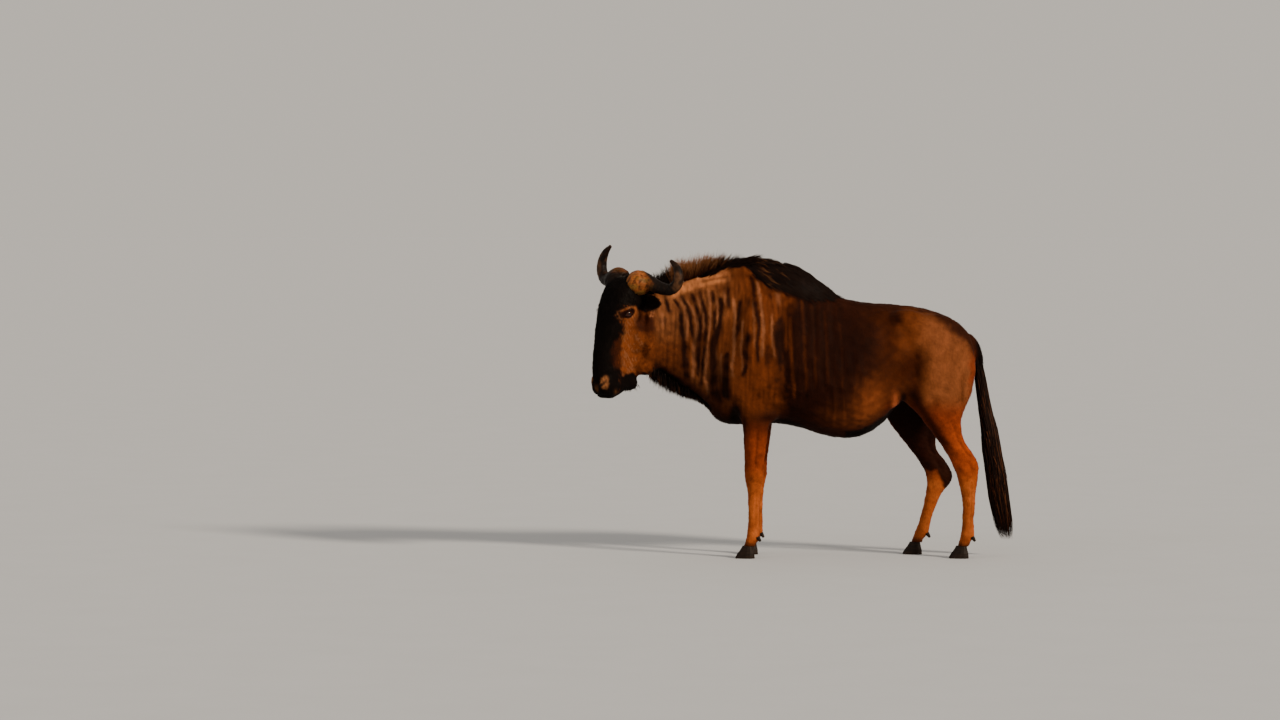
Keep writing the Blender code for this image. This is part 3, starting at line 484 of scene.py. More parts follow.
LIGHT_STRIPES = (
    (0.75, ((-528, 1221, 5), (-507, 1189, 6), (-488, 1157, 6), (-479, 1115, 7), (-475, 1060, 7),
            (-482, 1009, 6))),
    (0.85, ((-475, 1180, 4), (-456, 1147, 5), (-438, 1111, 7), (-429, 1069, 8), (-435, 1023, 6),
            (-447, 977, 6), (-445, 922, 8), (-445, 876, 6), (-452, 829, 6))),
    (0.80, ((-429, 1194, 5), (-412, 1152, 5), (-401, 1111, 4), (-398, 1074, 5), (-403, 1041, 4))),
    (0.95, ((-376, 1226, 5), (-371, 1157, 5), (-369, 1088, 5), (-376, 1032, 5), (-382, 982, 5),
            (-385, 926, 6), (-392, 866, 6), (-394, 829, 6), (-382, 783, 6), (-376, 751, 5))),
    (0.75, ((-341, 1184, 5), (-334, 1129, 5), (-341, 1065, 5))),
    (0.70, ((-304, 1230, 5), (-300, 1166, 5))),
    (0.85, ((-263, 1189, 6), (-256, 1115, 6), (-260, 1051, 6), (-260, 986, 6), (-263, 935, 5),
            (-272, 876, 5), (-267, 839, 6))),
    (0.70, ((-221, 1092, 5), (-224, 1028, 5), (-230, 968, 5), (-224, 912, 4), (-224, 862, 5))),
    (0.80, ((-154, 1272, 6), (-145, 1217, 6), (-138, 1166, 6), (-131, 1115, 5), (-127, 1055, 6),
            (-131, 991, 6), (-134, 931, 6))),
    (0.55, ((-175, 1180, 4), (-171, 1106, 4), (-171, 1041, 4), (-168, 972, 4))),
    (0.70, ((-88, 1120, 5), (-88, 1041, 5), (-83, 977, 6), (-76, 931, 5))),
    (0.60, ((-60, 1217, 11), (-55, 1166, 7))),
    (0.55, ((-592, 1129, 5), (-588, 1065, 5))),
    (0.50, ((-348, 968, 4), (-341, 912, 5))),
    (0.60, ((-318, 940, 5), (-323, 894, 4), (-318, 848, 4), (-316, 811, 3))),
)
SIDE_STRIPES = (
    (0.75, ((-37, 1166, 7), (-28, 1097, 8), (-23, 1028, 7), (-23, 959, 6))),
    (0.85, ((-5, 1106, 6), (-5, 1018, 6), (-2, 949, 6), (2, 876, 6), (9, 811, 6), (14, 742, 6))),
    (0.60, ((51, 1189, 6), (55, 1106, 5), (58, 1018, 5), (60, 940, 5), (65, 857, 6), (67, 774, 5))),
    (0.60, ((-39, 940, 4), (-39, 779, 4))),
    (0.35, ((97, 1157, 5), (101, 1041, 4), (106, 903, 5), (111, 788, 4))),
    (0.30, ((152, 1134, 5), (161, 995, 4), (166, 811, 5))),
    (0.30, ((221, 1078, 5), (230, 949, 4), (230, 788, 6))),
)


def traced(points, stripes, soft, wider=0.0):
    """1 in the middle of the listed stripes; the far side's are shifted a little."""
    x, y, z = points.T
    far = ease(-0.02, 0.05, y)
    x = x + far * (0.012 + 0.014 * ripple(points * (1, 0, 0.4), 0.20, 3))
    x = x + 0.0016 * ripple(points, 0.04, 14)
    z = z + far * 0.05 * ripple(points * (1, 0, 0), 0.07, 4)
    share = np.zeros(len(points))
    for strength, rows in stripes:
        rows = np.array(rows)[::-1] / 1000
        low, high = rows[0, 1], rows[-1, 1]
        place, half = (np.interp(z, rows[:, 1], rows[:, column]) for column in (0, 2))
        off = np.abs(x - place) / (half + wider)
        ends = ease(low - 0.018, low + 0.012, z) * ease(high + 0.012, high - 0.012, z)
        share = np.maximum(share, strength * ends * (1 - ease(1 - soft, 1 + 1.5 * soft, off)))
    return share * limit(1.00 + 0.35 * ripple(points, 0.075, 22))


def stripe_share(points):
    """1 in the middle of the faint upright stripes of the side, 0 between them."""
    x, y, _ = points.T
    height = height_share(points)
    wander = 0.014 * ripple(points * (1.0, 0.2, 0.45), 0.26, 3)
    wander += 0.0060 * ripple(points * (1.0, 0.3, 0.60), 0.11, 4)
    turns = (x + np.where(y < 0, 0.0, 0.017) + wander) / STRIPE_PITCH
    off_middle = np.abs(turns - np.floor(turns) - 0.5) * 2
    width = 0.62 + 0.24 * ripple(points * (1, 0.3, 0.40), 0.15, 5)
    share = 1 - ease(width - 0.30, width + 0.25, off_middle)
    share *= ease(0.00, 0.08, x) * (1 - ease(0.24, 0.42, x)) * ease(0.02, 0.14, height)
    share *= 1 - ease(0.90, 0.96, height)
    return share * limit(0.70 + 0.40 * ripple(points * (1, 0.3, 0.35), 0.12, 6), 0.9)


def body_colour(points):
    """Neck, trunk, legs and tail: the neck's brown with every marking, and the painted shade and
    highlights, laid over it in turn.
    """
    x, y, z = points.T
    height = height_share(points)
    leg = leg_weight(points)
    blotch, fine = ripple(points, 0.22, 8), ripple(points, 0.07, 9)
    mottle = ripple(points * (1, 1, 0.7), 0.034, 19)
    # neck and shoulder
    light = ease(1.00, 1.20, z + 0.02 * blotch) * ease(-0.16, -0.38, x)
    patchy = limit(0.30 + 0.45 * mottle + 0.30 * fine) * ease(-0.47, -0.53, x) * ease(1.16, 1.08, z)
    top_side = ease(1.10, 1.19, z) * ease(-0.11, -0.06, x) * ease(0.05, -0.02, x)
    lower_side = ease(0.76, 0.66, z) * ease(-0.24, -0.19, x) * ease(0.00, -0.06, x)
    dark_neck = patches(x, z, ((1, -0.318, 0.800, 0.040, 0.110),))
    low_neck = patches(x, z, ((1, -0.390, 0.850, 0.075, 0.085),))
    # flank, rump and belly
    belly_side = patches(x, z, ((1, 0.365, 0.715, 0.090, 0.095), (0.60, 0.255, 0.645, 0.120, 0.060)))
    rear = ease(0.26, 0.52, x + 0.03 * blotch + 0.02 * mottle)
    rump = ease(0.462, 0.560, x + 0.020 * blotch + 0.014 * fine - 0.04 * (z - 1.0))
    rump_rear = ease(0.560, 0.660, x + 0.025 * blotch + 0.012 * fine)
    notch = patches(x, z, ((1, 0.478, 1.105, 0.032, 0.052),))
    ruddy = ease(0.800, 0.850, x + 0.02 * blotch + 0.01 * fine) * ease(0.50, 0.60, x)
    # painted shade in the hollows before and on the thigh
    hollow_shade = patches(x, z, ((1, 0.532, 0.860, 0.056, 0.085), (0.60, 0.595, 0.905, 0.050, 0.062),
                            (0.90, 0.570, 0.745, 0.026, 0.070), (0.45, 0.664, 0.712, 0.022, 0.060),
                            (0.60, 0.785, 0.770, 0.012, 0.060)))
    hollow_shade = limit(hollow_shade * (1.05 + 0.25 * blotch + 0.20 * mottle))
    edge = np.interp(x, DORSAL_X, DORSAL_Z)
    back = ease(edge - 0.032, edge + 0.030, z + 0.012 * fine + 0.008 * mottle) * ease(0.02, 0.16, x)
    under = ease(0.13, 0.02, height + 0.02 * blotch) * ease(0.52, 0.44, x) * ease(-0.32, -0.22, x)
    # stripes, and the painted highlight along the top of the neck under the mane
    low = ease(0.04, 0.14, height)
    light_stripes = traced(points, LIGHT_STRIPES, 0.75) * (0.84 + 0.12 * ease(0.95, 1.12, z)) * low
    dark_stripes = limit(1.15 * traced(points, DARK_STRIPES, 0.80, 0.0030)) * low * 0.97
    band_z = np.interp(x, BAND_X, BAND_Z)
    neck_top_highlight = ease(0.034, 0.014, np.abs(z - band_z + 0.003 * mottle))
    neck_top_highlight = neck_top_highlight * ease(-0.585, -0.53, x) * ease(-0.255, -0.335, x)
    streak = bell(z, band_z - 0.002, 0.008) * ease(-0.43, -0.39, x) * ease(-0.27, -0.31, x)
    cape = bell(x, -0.290, 0.055) * ease(1.19, 1.26, z)
    # black of poll, throat and jaw; a painted highlight on the fold of skin before the stifle; painted
    # shadow on the chest before the foreleg and in the crease between flank and thigh
    poll = ease(1.212, 1.232, z + 0.10 * (x + 0.60) + 0.004 * fine) * ease(-0.535, -0.560, x)
    throat = ease(0.16, 0.03, height) * ease(-0.24, -0.34, x)
    under_jaw = ease(0.918, 0.890, z + 0.62 * (x + 0.645) + 0.01 * fine) * ease(-0.44, -0.54, x)
    # painted highlight on the fold of skin before the stifle
    fold = patches(x, z, ((1, 0.475, 0.696, 0.014, 0.052),))
    # painted shadow between chest and foreleg
    brisket_shadow = patches(x, z, ((1, -0.252, 0.655, 0.026, 0.062),))
    # painted shadow in the crease between flank and thigh
    crease_shadow = patches(x, z, ((1, 0.515, 0.738, 0.014, 0.026),))
    # legs, with painted shade on the inner faces of the hind legs, in the armpits and along the fronts
    # of forearm and hind thigh
    inner_y = np.interp(z, (0.36, 0.55, 0.75), (0.130, 0.122, 0.105))
    # painted shade on the inner faces of the hind legs, down to the hocks
    inner = ease(0.012, -0.012, np.abs(y) - inner_y) * (x > 0.25) * ease(0.80, 0.74, z)
    heel = ease(0.0, 0.05, x - np.where(y > 0, 0.685, 0.790))
    inner *= ease(-0.022, 0.022, z - 0.378 + 0.085 * heel + 0.010 * mottle)
    # painted shade along the front edge of the hind thigh and gaskin
    thigh_front_shade = bell(x, 0.615 + 0.62 * (0.66 - z), 0.032) * ease(0.84, 0.74, z) * ease(0.44, 0.54, z)
    # painted shade in the armpits, on the inner faces of the upper forelegs
    armpit_shade = ease(0.110, 0.080, np.abs(y)) * ease(0.24, 0.16, np.abs(x + 0.14)) * ease(0.36, 0.44, z)
    armpit_shade *= ease(0.70, 0.62, z)
    # painted shade along the front edge of the forearm
    foreleg_front_shade = bell(x, -0.216 + 0.03 * (z - 0.5), 0.009) * ease(0.68, 0.62, z) * ease(0.37, 0.46, z)
    tail = ease(0.040, 0.030, near_line(points, TAIL_LINE)) * ease(0.845, 0.870, x)
    colour = layered(NECK, (
        (NECK_LIGHT, limit(light * (0.52 + 0.25 * fine))),
        (NECK_LIGHT, ease(-0.43, -0.50, x) * ease(0.96, 1.04, z) * 0.40),
        (SHOULDER, ease(-0.34, -0.14, x) * 0.85),
        (STRIPE, patchy * 0.60),
        (SIDE_DARK_AND_SHADE, ease(-0.095, -0.035, x + 0.035 * blotch + 0.01 * mottle) * 0.94),
        (SHOULDER, limit(top_side * (0.75 + 0.3 * mottle))),
        (SHOULDER, lower_side * 0.4),
        (FLANK, limit(rear * 0.72 + 0.12 * rear * mottle)),
        (BELLY_SIDE, limit(belly_side * (0.95 + 0.25 * mottle))),
        (RUMP_FRONT, rump),
        (RUMP, rump_rear),
        (SIDE_DARK_AND_SHADE, limit(notch * (0.62 + 0.30 * mottle), 0.7)),
        (THIGH, ruddy * 0.75),
        # painted shade in the hollows
        (RUMP_HOLLOW_SHADE, hollow_shade * 0.94),
        (THIGH, ease(0.76, 0.64, z) * ease(0.40, 0.46, x) * 0.85),
        (DORSAL, back * 0.95),
        (UNDERSIDE, under * 0.92),
        (STRIPE, dark_neck * 0.28),
        (NECK_LIGHT, low_neck * 0.36),
        (LIGHT_STRIPE, light_stripes),
        (SIDE_STRIPE, traced(points, SIDE_STRIPES, 0.85) * low),
        (STRIPE, dark_stripes),
        (STRIPE, stripe_share(points) * 0.6),
        # painted highlight along the top of the neck
        (NECK_TOP_HIGHLIGHT, limit(neck_top_highlight * (0.98 + 0.2 * fine + 0.15 * mottle))),
        (FLANK, streak * 0.60),
        (FLANK, limit(cape * (0.42 + 0.2 * mottle))),
        (BLACK_HAIR_AND_SHADOW, poll),
        (STRIPE, throat * 0.85),
        (BLACK_HAIR_AND_SHADOW, under_jaw * ease(-0.675, -0.655, x)),
        # painted highlight on the fold of skin, on the near side only
        (FOLD_HIGHLIGHT, limit(fold * 1.2) * ease(0.10, -0.05, y)),
        # painted shadow between chest and foreleg
        (BLACK_HAIR_AND_SHADOW, limit(brisket_shadow * 1.5, 0.94)),
        # painted shadow in the crease between flank and thigh
        (BLACK_HAIR_AND_SHADOW, limit(crease_shadow * 1.2, 0.9)),
        (LEG, leg * (0.85 + 0.1 * blotch)),
        (CANNON, ease(0.44, 0.30, z) * leg * (0.8 + 0.15 * fine)),
        # painted shade on the inner faces of the hind legs
        (BLACK_HAIR_AND_SHADOW, inner * 0.95),
        # painted shade along the front of the hind thigh
        (SIDE_DARK_AND_SHADE, thigh_front_shade * 0.85),
        # painted shade in the armpits
        (BLACK_HAIR_AND_SHADOW, armpit_shade * 0.85),
        # painted shade along the front of the forearm
        (SIDE_DARK_AND_SHADE, foreleg_front_shade * 0.75),
        (SIDE_DARK_AND_SHADE, ease(0.090, 0.060, z) * 0.75),
        (BLACK_HAIR_AND_SHADOW, tail)))
    creased = ease(0.08, -0.04, x) * ease(0.62, 0.74, z)
    streaks = 0.26 * ripple(points * (1, 0.3, 0.09), 0.015, 21) * creased
    grain = 0.10 * mottle * np.maximum(leg, 0.4 * rump_rear)
    return colour * (1 + 0.12 * blotch + 0.10 * fine + grain + streaks)[:, None]


def eye_oval(u, w):
    """Distance from the eye's middle in units of the dark oval round it, which is dark skin with painted
    shadow of the brow.
    """
    forward, upward = u - EYE_PLACE[0] + 0.003, w - EYE_PLACE[2] - 0.004
    along, over = 0.262 * upward - 0.965 * forward, 0.262 * forward + 0.965 * upward
    return np.hypot(along / 0.0410, over / 0.0200)


def head_colour(points):
    """The head: a brown cheek with a painted highlight on its bone, then the black of face, brow and
    chin, the eye's rim with painted shadow of the brow, and the nose.
    """
    u, v, w = to_head(points).T
    side = np.abs(v)
    blotch, fine = ripple(points, 0.045, 11), ripple(points, 0.018, 12)
    grain = ripple(points * (1, 1, 0.6), 0.011, 18)
    mottle = limit(0.40 + 0.55 * blotch + 0.50 * fine + 0.40 * grain)
    mottle = np.maximum(mottle, ease(-0.150, -0.205, u + 0.02 * blotch) * 0.75)
    lights = limit(0.60 * fine + 0.55 * blotch + 0.22 * grain - 0.02) * ease(-0.17, -0.13, u)
    rear = patches(u, w, ((1, -0.163, 1.082, 0.050, 0.044),))
    # painted highlight on the cheekbone
    cheekbone_highlight = patches(u, w, ((1, -0.056, 1.030, 0.014, 0.036),))
    edge = np.interp(w, (0.86, 0.96, 1.05, 1.12), (-0.062, -0.057, -0.048, -0.039))
    shaded = u + 0.007 * blotch + 0.006 * fine + 0.004 * grain
    face_edge = edge + 0.048 * ease(0.86, 0.90, w) * ease(1.04, 0.98, w)
    lower = np.interp(u, (-0.22, -0.138, -0.112, -0.040), (1.126, 1.130, 1.150, 1.152))
    brow = ease(lower, lower + 0.018, w + 0.004 * blotch + 0.004 * fine + 0.002 * grain)
    away = eye_oval(u, w)
    by_eye = side > 0.05
    worn = 0.30 + 0.40 * fine + 0.30 * grain + 0.50 * ease(-0.02, -0.09, u)
    nose = np.hypot((side - u - 0.014) / 0.037, (w - 0.812) / 0.037) + 0.12 * fine
    nose = ease(1.05, 0.55, nose + 0.10 * blotch) * ease(-0.02, 0.00, u)
    lip = patches(side - u, w, ((1, -0.034, 0.779, 0.010, 0.017), (0.6, 0.088, 0.768, 0.010, 0.012)))
    chin = ease(0.860, 0.842, w + 0.01 * blotch) * ease(-0.048, -0.064, u)
    nostril = ease(0.0150, 0.0075, near_line(np.stack([u, side, w], -1), NOSTRIL))
    colour = layered(CHEEK, (
        (CHEEK_DARK, mottle * 0.66),
        (CHEEK_LIGHT, limit(0.9 * lights, 0.5)),
        (CHEEK_DARK, limit(1.6 * rear + 0.3 * rear * fine, 0.95)),
        # painted highlight on the cheekbone
        (EYE_RIM_AND_HIGHLIGHT, limit(cheekbone_highlight * (0.75 + 0.3 * fine))),
        (CHEEK_DARK, ease(edge - 0.016, edge + 0.016, shaded) * 0.92),
        (FACE_BLACK, np.maximum(ease(face_edge - 0.020, face_edge + 0.020, shaded), brow)),
        (EYE_RIM_AND_HIGHLIGHT, limit(bell(away, 1.28, 0.20) * by_eye * worn * 0.72, 0.85)),
        # dark skin round the eye with painted shadow of the brow
        (EYE_DARK_AND_BROW_SHADOW, ease(1.14, 0.86, away + 0.05 * fine) * by_eye),
        (MUZZLE, limit(nose * (0.80 + 0.25 * fine))),
        (MUZZLE, limit(lip) * 0.38),
        (FACE_BLACK, chin),
        (NOSTRIL_BLACK, nostril)))
    return colour * (1 + 0.12 * fine)[:, None]


def coat_colour(points):
    """Linear colour of skin and coat at points of the design frame."""
    u, v, w = to_head(points).T
    ragged = 0.55 * ripple(points, 0.020, 13) + 0.45 * ripple(points, 0.008, 20)
    outward = np.abs(v) - u - 0.300
    tuft = np.hypot((outward + 0.5 * (w - 1.125)) / 0.020, (w - 1.125 - 0.35 * outward) / 0.013) + ragged
    return layered(body_colour(points), (
        (BLACK_HAIR_AND_SHADOW, mane_weight(points)),
        (head_colour(points), head_weight(points)),
        (EAR_TUFT, ease(1.35, 0.05, tuft) * ease(0.03, 0.05, np.abs(v))),
        # painted shadow of the horn over the ears
        (EAR_HORN_SHADOW, ear_weight(points) * 0.95)))


# ---------------------------------------------------------------- materials


def new_material(name, roughness, specular=0.5, painted=True):
    """A material's tree and shader, and the socket of the piece's stored colours."""
    material = bpy.data.materials.new(name)
    material.use_nodes = True
    tree = material.node_tree
    shader = tree.nodes["Principled BSDF"]
    shader.inputs["Roughness"].default_value = roughness
    shader.inputs["Specular IOR Level"].default_value = specular
    stored_colour = None
    if painted:
        stored_colour = add_node(tree, "ShaderNodeAttribute", attribute_name="stored_colour").outputs["Color"]
    return material, tree, shader, stored_colour


def add_node(tree, kind, inputs=None, **settings):
    node = tree.nodes.new(kind)
    for key, value in settings.items():
        setattr(node, key, value)
    for key, value in (inputs or {}).items():
        if isinstance(value, bpy.types.NodeSocket):
            tree.links.new(value, node.inputs[key])
        else:
            node.inputs[key].default_value = value
    return node


def noise(tree, stretch, scale, detail=3.0):
    """Noise in object space, stretched along an axis."""
    place = add_node(tree, "ShaderNodeTexCoord")
    mapping = add_node(tree, "ShaderNodeMapping", {"Vector": place.outputs["Object"], "Scale": stretch})
    pattern = add_node(tree, "ShaderNodeTexNoise", {"Vector": mapping.outputs["Vector"], "Scale": scale,
                                                    "Detail": detail, "Roughness": 0.6})
    return pattern.outputs["Fac"]


def scaled_colour(tree, colour, pattern, low, high):
    """colour times a factor that runs from low to high with the pattern."""
    factor = add_node(tree, "ShaderNodeMapRange", {"Value": pattern, "From Min": 0.3, "From Max": 0.7,
                                                   "To Min": low, "To Max": high})
    scale = add_node(tree, "ShaderNodeVectorMath", {0: colour, "Scale": factor.outputs["Result"]},
                     operation="SCALE")
    return scale.outputs["Vector"]


def add_bump(tree, shader, height, strength, distance):
    bump = add_node(tree, "ShaderNodeBump", {"Height": height, "Strength": strength,
                                             "Distance": distance})
    tree.links.new(bump.outputs["Normal"], shader.inputs["Normal"])


def coat_material(name, roughness, specular, stretch, scale, low, high, bump, sheen):
    """Hair: the stored colours, markings with painted shade and highlights, streaked by stretched noise,
    with streaks in the bump.
    """
    material, tree, shader, stored_colour = new_material(name, roughness, specular)
    streaks = noise(tree, stretch, scale)
    clumps = noise(tree, (1.0, 1.0, 0.6), 34.0)
    colour = scaled_colour(tree, stored_colour, streaks, low, high)
    tree.links.new(scaled_colour(tree, colour, clumps, 0.88, 1.12), shader.inputs["Base Color"])
    shader.inputs["Sheen Weight"].default_value = sheen
    shader.inputs["Sheen Roughness"].default_value = 0.4
    if bump:
        add_bump(tree, shader, streaks, bump, 0.0015)
    return material


def horn_material():
    material, tree, shader, stored_colour = new_material("horn_keratin", 0.52, 0.08)
    grain = noise(tree, (1.0, 1.0, 1.0), 60.0, 5.0)
    fibres = noise(tree, (4.0, 4.0, 0.7), 120.0, 4.0)
    colour = scaled_colour(tree, stored_colour, grain, 0.65, 1.4)
    tree.links.new(scaled_colour(tree, colour, fibres, 0.85, 1.15), shader.inputs["Base Color"])
    rough = add_node(tree, "ShaderNodeMapRange", {"Value": grain, "To Min": 0.42, "To Max": 0.62})
    tree.links.new(rough.outputs["Result"], shader.inputs["Roughness"])
    add_bump(tree, shader, grain, 0.45, 0.0012)
    return material


def hoof_material():
    material, tree, shader, _ = new_material("hoof_keratin", 0.54, 0.10, painted=False)
    bands = noise(tree, (0.6, 0.6, 9.0), 22.0, 4.0)
    chips = noise(tree, (1.0, 1.0, 1.0), 90.0, 5.0)
    ramp = add_node(tree, "ShaderNodeValToRGB", {"Fac": bands})
    stops = ((0.32, (0.0050, 0.0030, 0.0021, 1)), (0.70, (0.0170, 0.0082, 0.0044, 1)))
    for element, (position, colour) in zip(ramp.color_ramp.elements, stops):
        element.position, element.color = position, colour
    colour = scaled_colour(tree, ramp.outputs["Color"], chips, 0.7, 1.25)
    tree.links.new(colour, shader.inputs["Base Color"])
    both = add_node(tree, "ShaderNodeMath", {0: bands, 1: chips}, operation="ADD")
    add_bump(tree, shader, both.outputs["Value"], 0.4, 0.001)
    return material


def eye_material():
    material, tree, shader, stored_colour = new_material("eye_wet", 0.10, 0.06)
    fibres = noise(tree, (1.0, 1.0, 1.0), 700.0, 2.0)
    tree.links.new(scaled_colour(tree, stored_colour, fibres, 0.75, 1.25), shader.inputs["Base Color"])
    shader.inputs["Coat Weight"].default_value = 0.30
    shader.inputs["Coat Roughness"].default_value = 0.02
    return material


def floor_material():
    material, tree, shader, _ = new_material("studio_floor", 0.85, 0.2, painted=False)
    base = add_node(tree, "ShaderNodeRGB").outputs[0]
    base.default_value = (0.467, 0.481, 0.507, 1)
    colour = scaled_colour(tree, base, noise(tree, (1.0, 1.0, 1.0), 3.0), 0.985, 1.015)
    tree.links.new(colour, shader.inputs["Base Color"])
    return material


SKIN_LOOK = coat_material("hide_with_short_fur", 0.74, 0.03, (3.0, 3.0, 0.55), 210.0, 0.72, 1.28, 0.8,
                          0.02)
FUR_LOOK = coat_material("short_fur", 0.62, 0.035, (2.0, 2.0, 2.0), 160.0, 0.80, 1.22, 0.0, 0.02)
HAIR_LOOK = coat_material("long_hair", 0.55, 0.050, (5.0, 5.0, 0.8), 150.0, 0.70, 1.35, 0.0, 0.0)
HORN_LOOK = horn_material()
HOOF_LOOK = hoof_material()
EYE_LOOK = eye_material()

# ---------------------------------------------------------------- skin

FLESH_NODES = [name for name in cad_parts
               if name in ("head", "neck", "trunk", "tail_dock") or "leg_" in name]
SKIN_VOXEL = 0.008
HORN_VOXEL = 0.0026
HOOF_VOXEL = 0.0022
DEW_CLAW_VOXEL = 0.0013
FOOT_Y = 0.123      # middle of each foot, sideways
CORONET_DRAW = (0.20, 0.16)    # how much narrower a hoof is at its top, lengthwise and sideways
HOOF_RING_PITCH = 0.0062


def copy_nodes(names, name, plugs=()):
    """The named nodes as one new mesh; ellipsoids (centre, radii, axes) fill their sockets."""
    work = bmesh.new()
    for node in names:
        work.from_mesh(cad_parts[node].data)
    for centre, radii, axes in plugs:
        turn = Matrix(np.array(axes).T.tolist()).to_4x4()
        place = Matrix.Translation(centre + SHIFT) @ turn @ Matrix.Diagonal((*radii, 1.0))
        bmesh.ops.create_icosphere(work, subdivisions=3, radius=1.0, matrix=place)
    mesh = bpy.data.meshes.new(name)
    work.to_mesh(mesh)
    work.free()
    return new_object(name, mesh)


def coat_depth(points):
    """How far the skin lies under the tips of the short coat."""
    thin = np.maximum(head_weight(points), leg_weight(points))
    return 0.0055 * (1 - thin) + 0.0026 * thin - 0.0010 * mane_weight(points)


# Legs: rows of (z, centre x, half depth fore and aft, centre y, half width), from the trunk down.
FORELEG = np.array((
    (0.67, -0.161, 0.088, 0.124, 0.054), (0.60, -0.160, 0.064, 0.124, 0.047),
    (0.52, -0.163, 0.056, 0.123, 0.041), (0.44, -0.167, 0.048, 0.122, 0.037),
    (0.335, -0.167, 0.040, 0.122, 0.033), (0.29, -0.168, 0.032, 0.122, 0.027),
    (0.14, -0.170, 0.030, 0.122, 0.026), (0.10, -0.172, 0.034, 0.123, 0.031),
    (0.065, -0.186, 0.029, 0.124, 0.028)))[::-1]
HIND_LEFT = np.array((
    (0.668, 0.684, 0.112, 0.122, 0.062), (0.608, 0.702, 0.083, 0.125, 0.050),
    (0.535, 0.738, 0.064, 0.126, 0.042), (0.47, 0.782, 0.066, 0.125, 0.036),
    (0.42, 0.804, 0.063, 0.124, 0.038), (0.373, 0.811, 0.052, 0.123, 0.035),
    (0.31, 0.815, 0.040, 0.122, 0.029), (0.25, 0.817, 0.033, 0.122, 0.026),
    (0.105, 0.811, 0.035, 0.123, 0.031), (0.065, 0.795, 0.029, 0.124, 0.028)))[::-1]
HIND_RIGHT = np.array((
    (0.65, 0.580, 0.140, 0.121, 0.064), (0.55, 0.598, 0.090, 0.126, 0.046),
    (0.488, 0.624, 0.066, 0.126, 0.038), (0.43, 0.667, 0.066, 0.125, 0.037),
    (0.375, 0.697, 0.066, 0.124, 0.038), (0.335, 0.697, 0.060, 0.123, 0.035),
    (0.285, 0.674, 0.042, 0.122, 0.029), (0.22, 0.652, 0.034, 0.122, 0.026),
    (0.105, 0.620, 0.035, 0.123, 0.031), (0.065, 0.598, 0.029, 0.124, 0.028)))[::-1]
FAR_FORELEG_SHIFT = 0.022
# Forms of a leg: place fore (-1) to aft (1), its reach, height above the ground from and to, rise.
FORELEG_FORMS = (
    (0.30, 0.17, 0.130, 0.310, -0.0034), (0.66, 0.10, 0.130, 0.300, -0.0014),
    (0.05, 0.13, 0.430, 0.600, -0.0042), (-0.40, 0.30, 0.440, 0.620, 0.0034),
    (0.50, 0.22, 0.440, 0.620, 0.0030), (0.00, 0.90, 0.365, 0.395, 0.0030),
    (0.78, 0.25, 0.365, 0.395, 0.0045), (0.00, 1.50, 0.090, 0.104, 0.0022),
    (0.30, 0.40, 0.345, 0.350, -0.0022), (0.10, 0.50, 0.425, 0.430, -0.0022))
HIND_FORMS = (
    (0.52, 0.17, 0.470, 0.620, -0.0085), (-0.20, 0.35, 0.500, 0.640, 0.0040),
    (-0.70, 0.20, 0.480, 0.600, 0.0025), (-0.30, 0.24, 0.405, 0.425, 0.0036),
    (0.74, 0.24, 0.405, 0.450, 0.0032), (0.30, 0.18, 0.395, 0.440, -0.0040),
    (0.34, 0.17, 0.130, 0.330, -0.0036), (0.68, 0.10, 0.130, 0.310, -0.0014),
    (0.00, 1.50, 0.092, 0.106, 0.0022))

# Soft hills (+) and hollows (-) on both sides of the body: (x, y, z), reach, height.
BODY_FORMS = [
    ((-0.190, 0.21, 1.080), (0.030, 0.10, 0.160), 0.009),     # spine of the shoulder blade
    ((-0.110, 0.21, 1.020), (0.035, 0.10, 0.140), -0.008),
    ((-0.285, 0.18, 0.860), (0.045, 0.10, 0.055), 0.013),     # point of the shoulder
    ((-0.130, 0.20, 0.790), (0.060, 0.10, 0.060), 0.011),     # triceps
    ((-0.095, 0.16, 0.660), (0.030, 0.10, 0.030), 0.010),     # elbow
    ((0.440, 0.18, 1.020), (0.060, 0.10, 0.070), -0.013),     # hollow of the flank
    ((0.510, 0.16, 1.090), (0.045, 0.10, 0.032), 0.010),      # point of the hip
    ((0.785, 0.12, 1.000), (0.035, 0.10, 0.040), 0.009),      # pin bone
    ((0.640, 0.19, 0.880), (0.060, 0.10, 0.120), 0.009),
    ((0.545, 0.18, 0.760), (0.040, 0.10, 0.040), 0.009),      # stifle
    ((0.470, 0.15, 0.720), (0.030, 0.10, 0.050), 0.006),      # fold of skin before the stifle
    ((-0.520, 0.12, 1.120), (0.070, 0.10, 0.060), 0.005)]
# Long forms seen from the side: line of (x, z), half width, rise.
BODY_LINES = (
    (((-0.200, 1.270), (-0.300, 1.080), (-0.345, 0.920), (-0.350, 0.780)), 0.030, -0.009),
    (((-0.030, 1.180), (-0.045, 1.000), (-0.030, 0.860), (-0.055, 0.740)), 0.032, -0.011),
    (((0.505, 1.070), (0.555, 0.950), (0.560, 0.830), (0.540, 0.770)), 0.026, -0.010),
    (((0.730, 1.060), (0.715, 0.920), (0.690, 0.780)), 0.020, -0.006),
    (((0.810, 1.000), (0.795, 0.880), (0.775, 0.720)), 0.016, -0.008),
    (((0.400, 0.640), (0.470, 0.710), (0.540, 0.800)), 0.022, 0.006),
    (((-0.480, 0.960), (-0.390, 0.820), (-0.330, 0.740)), 0.020, -0.006))
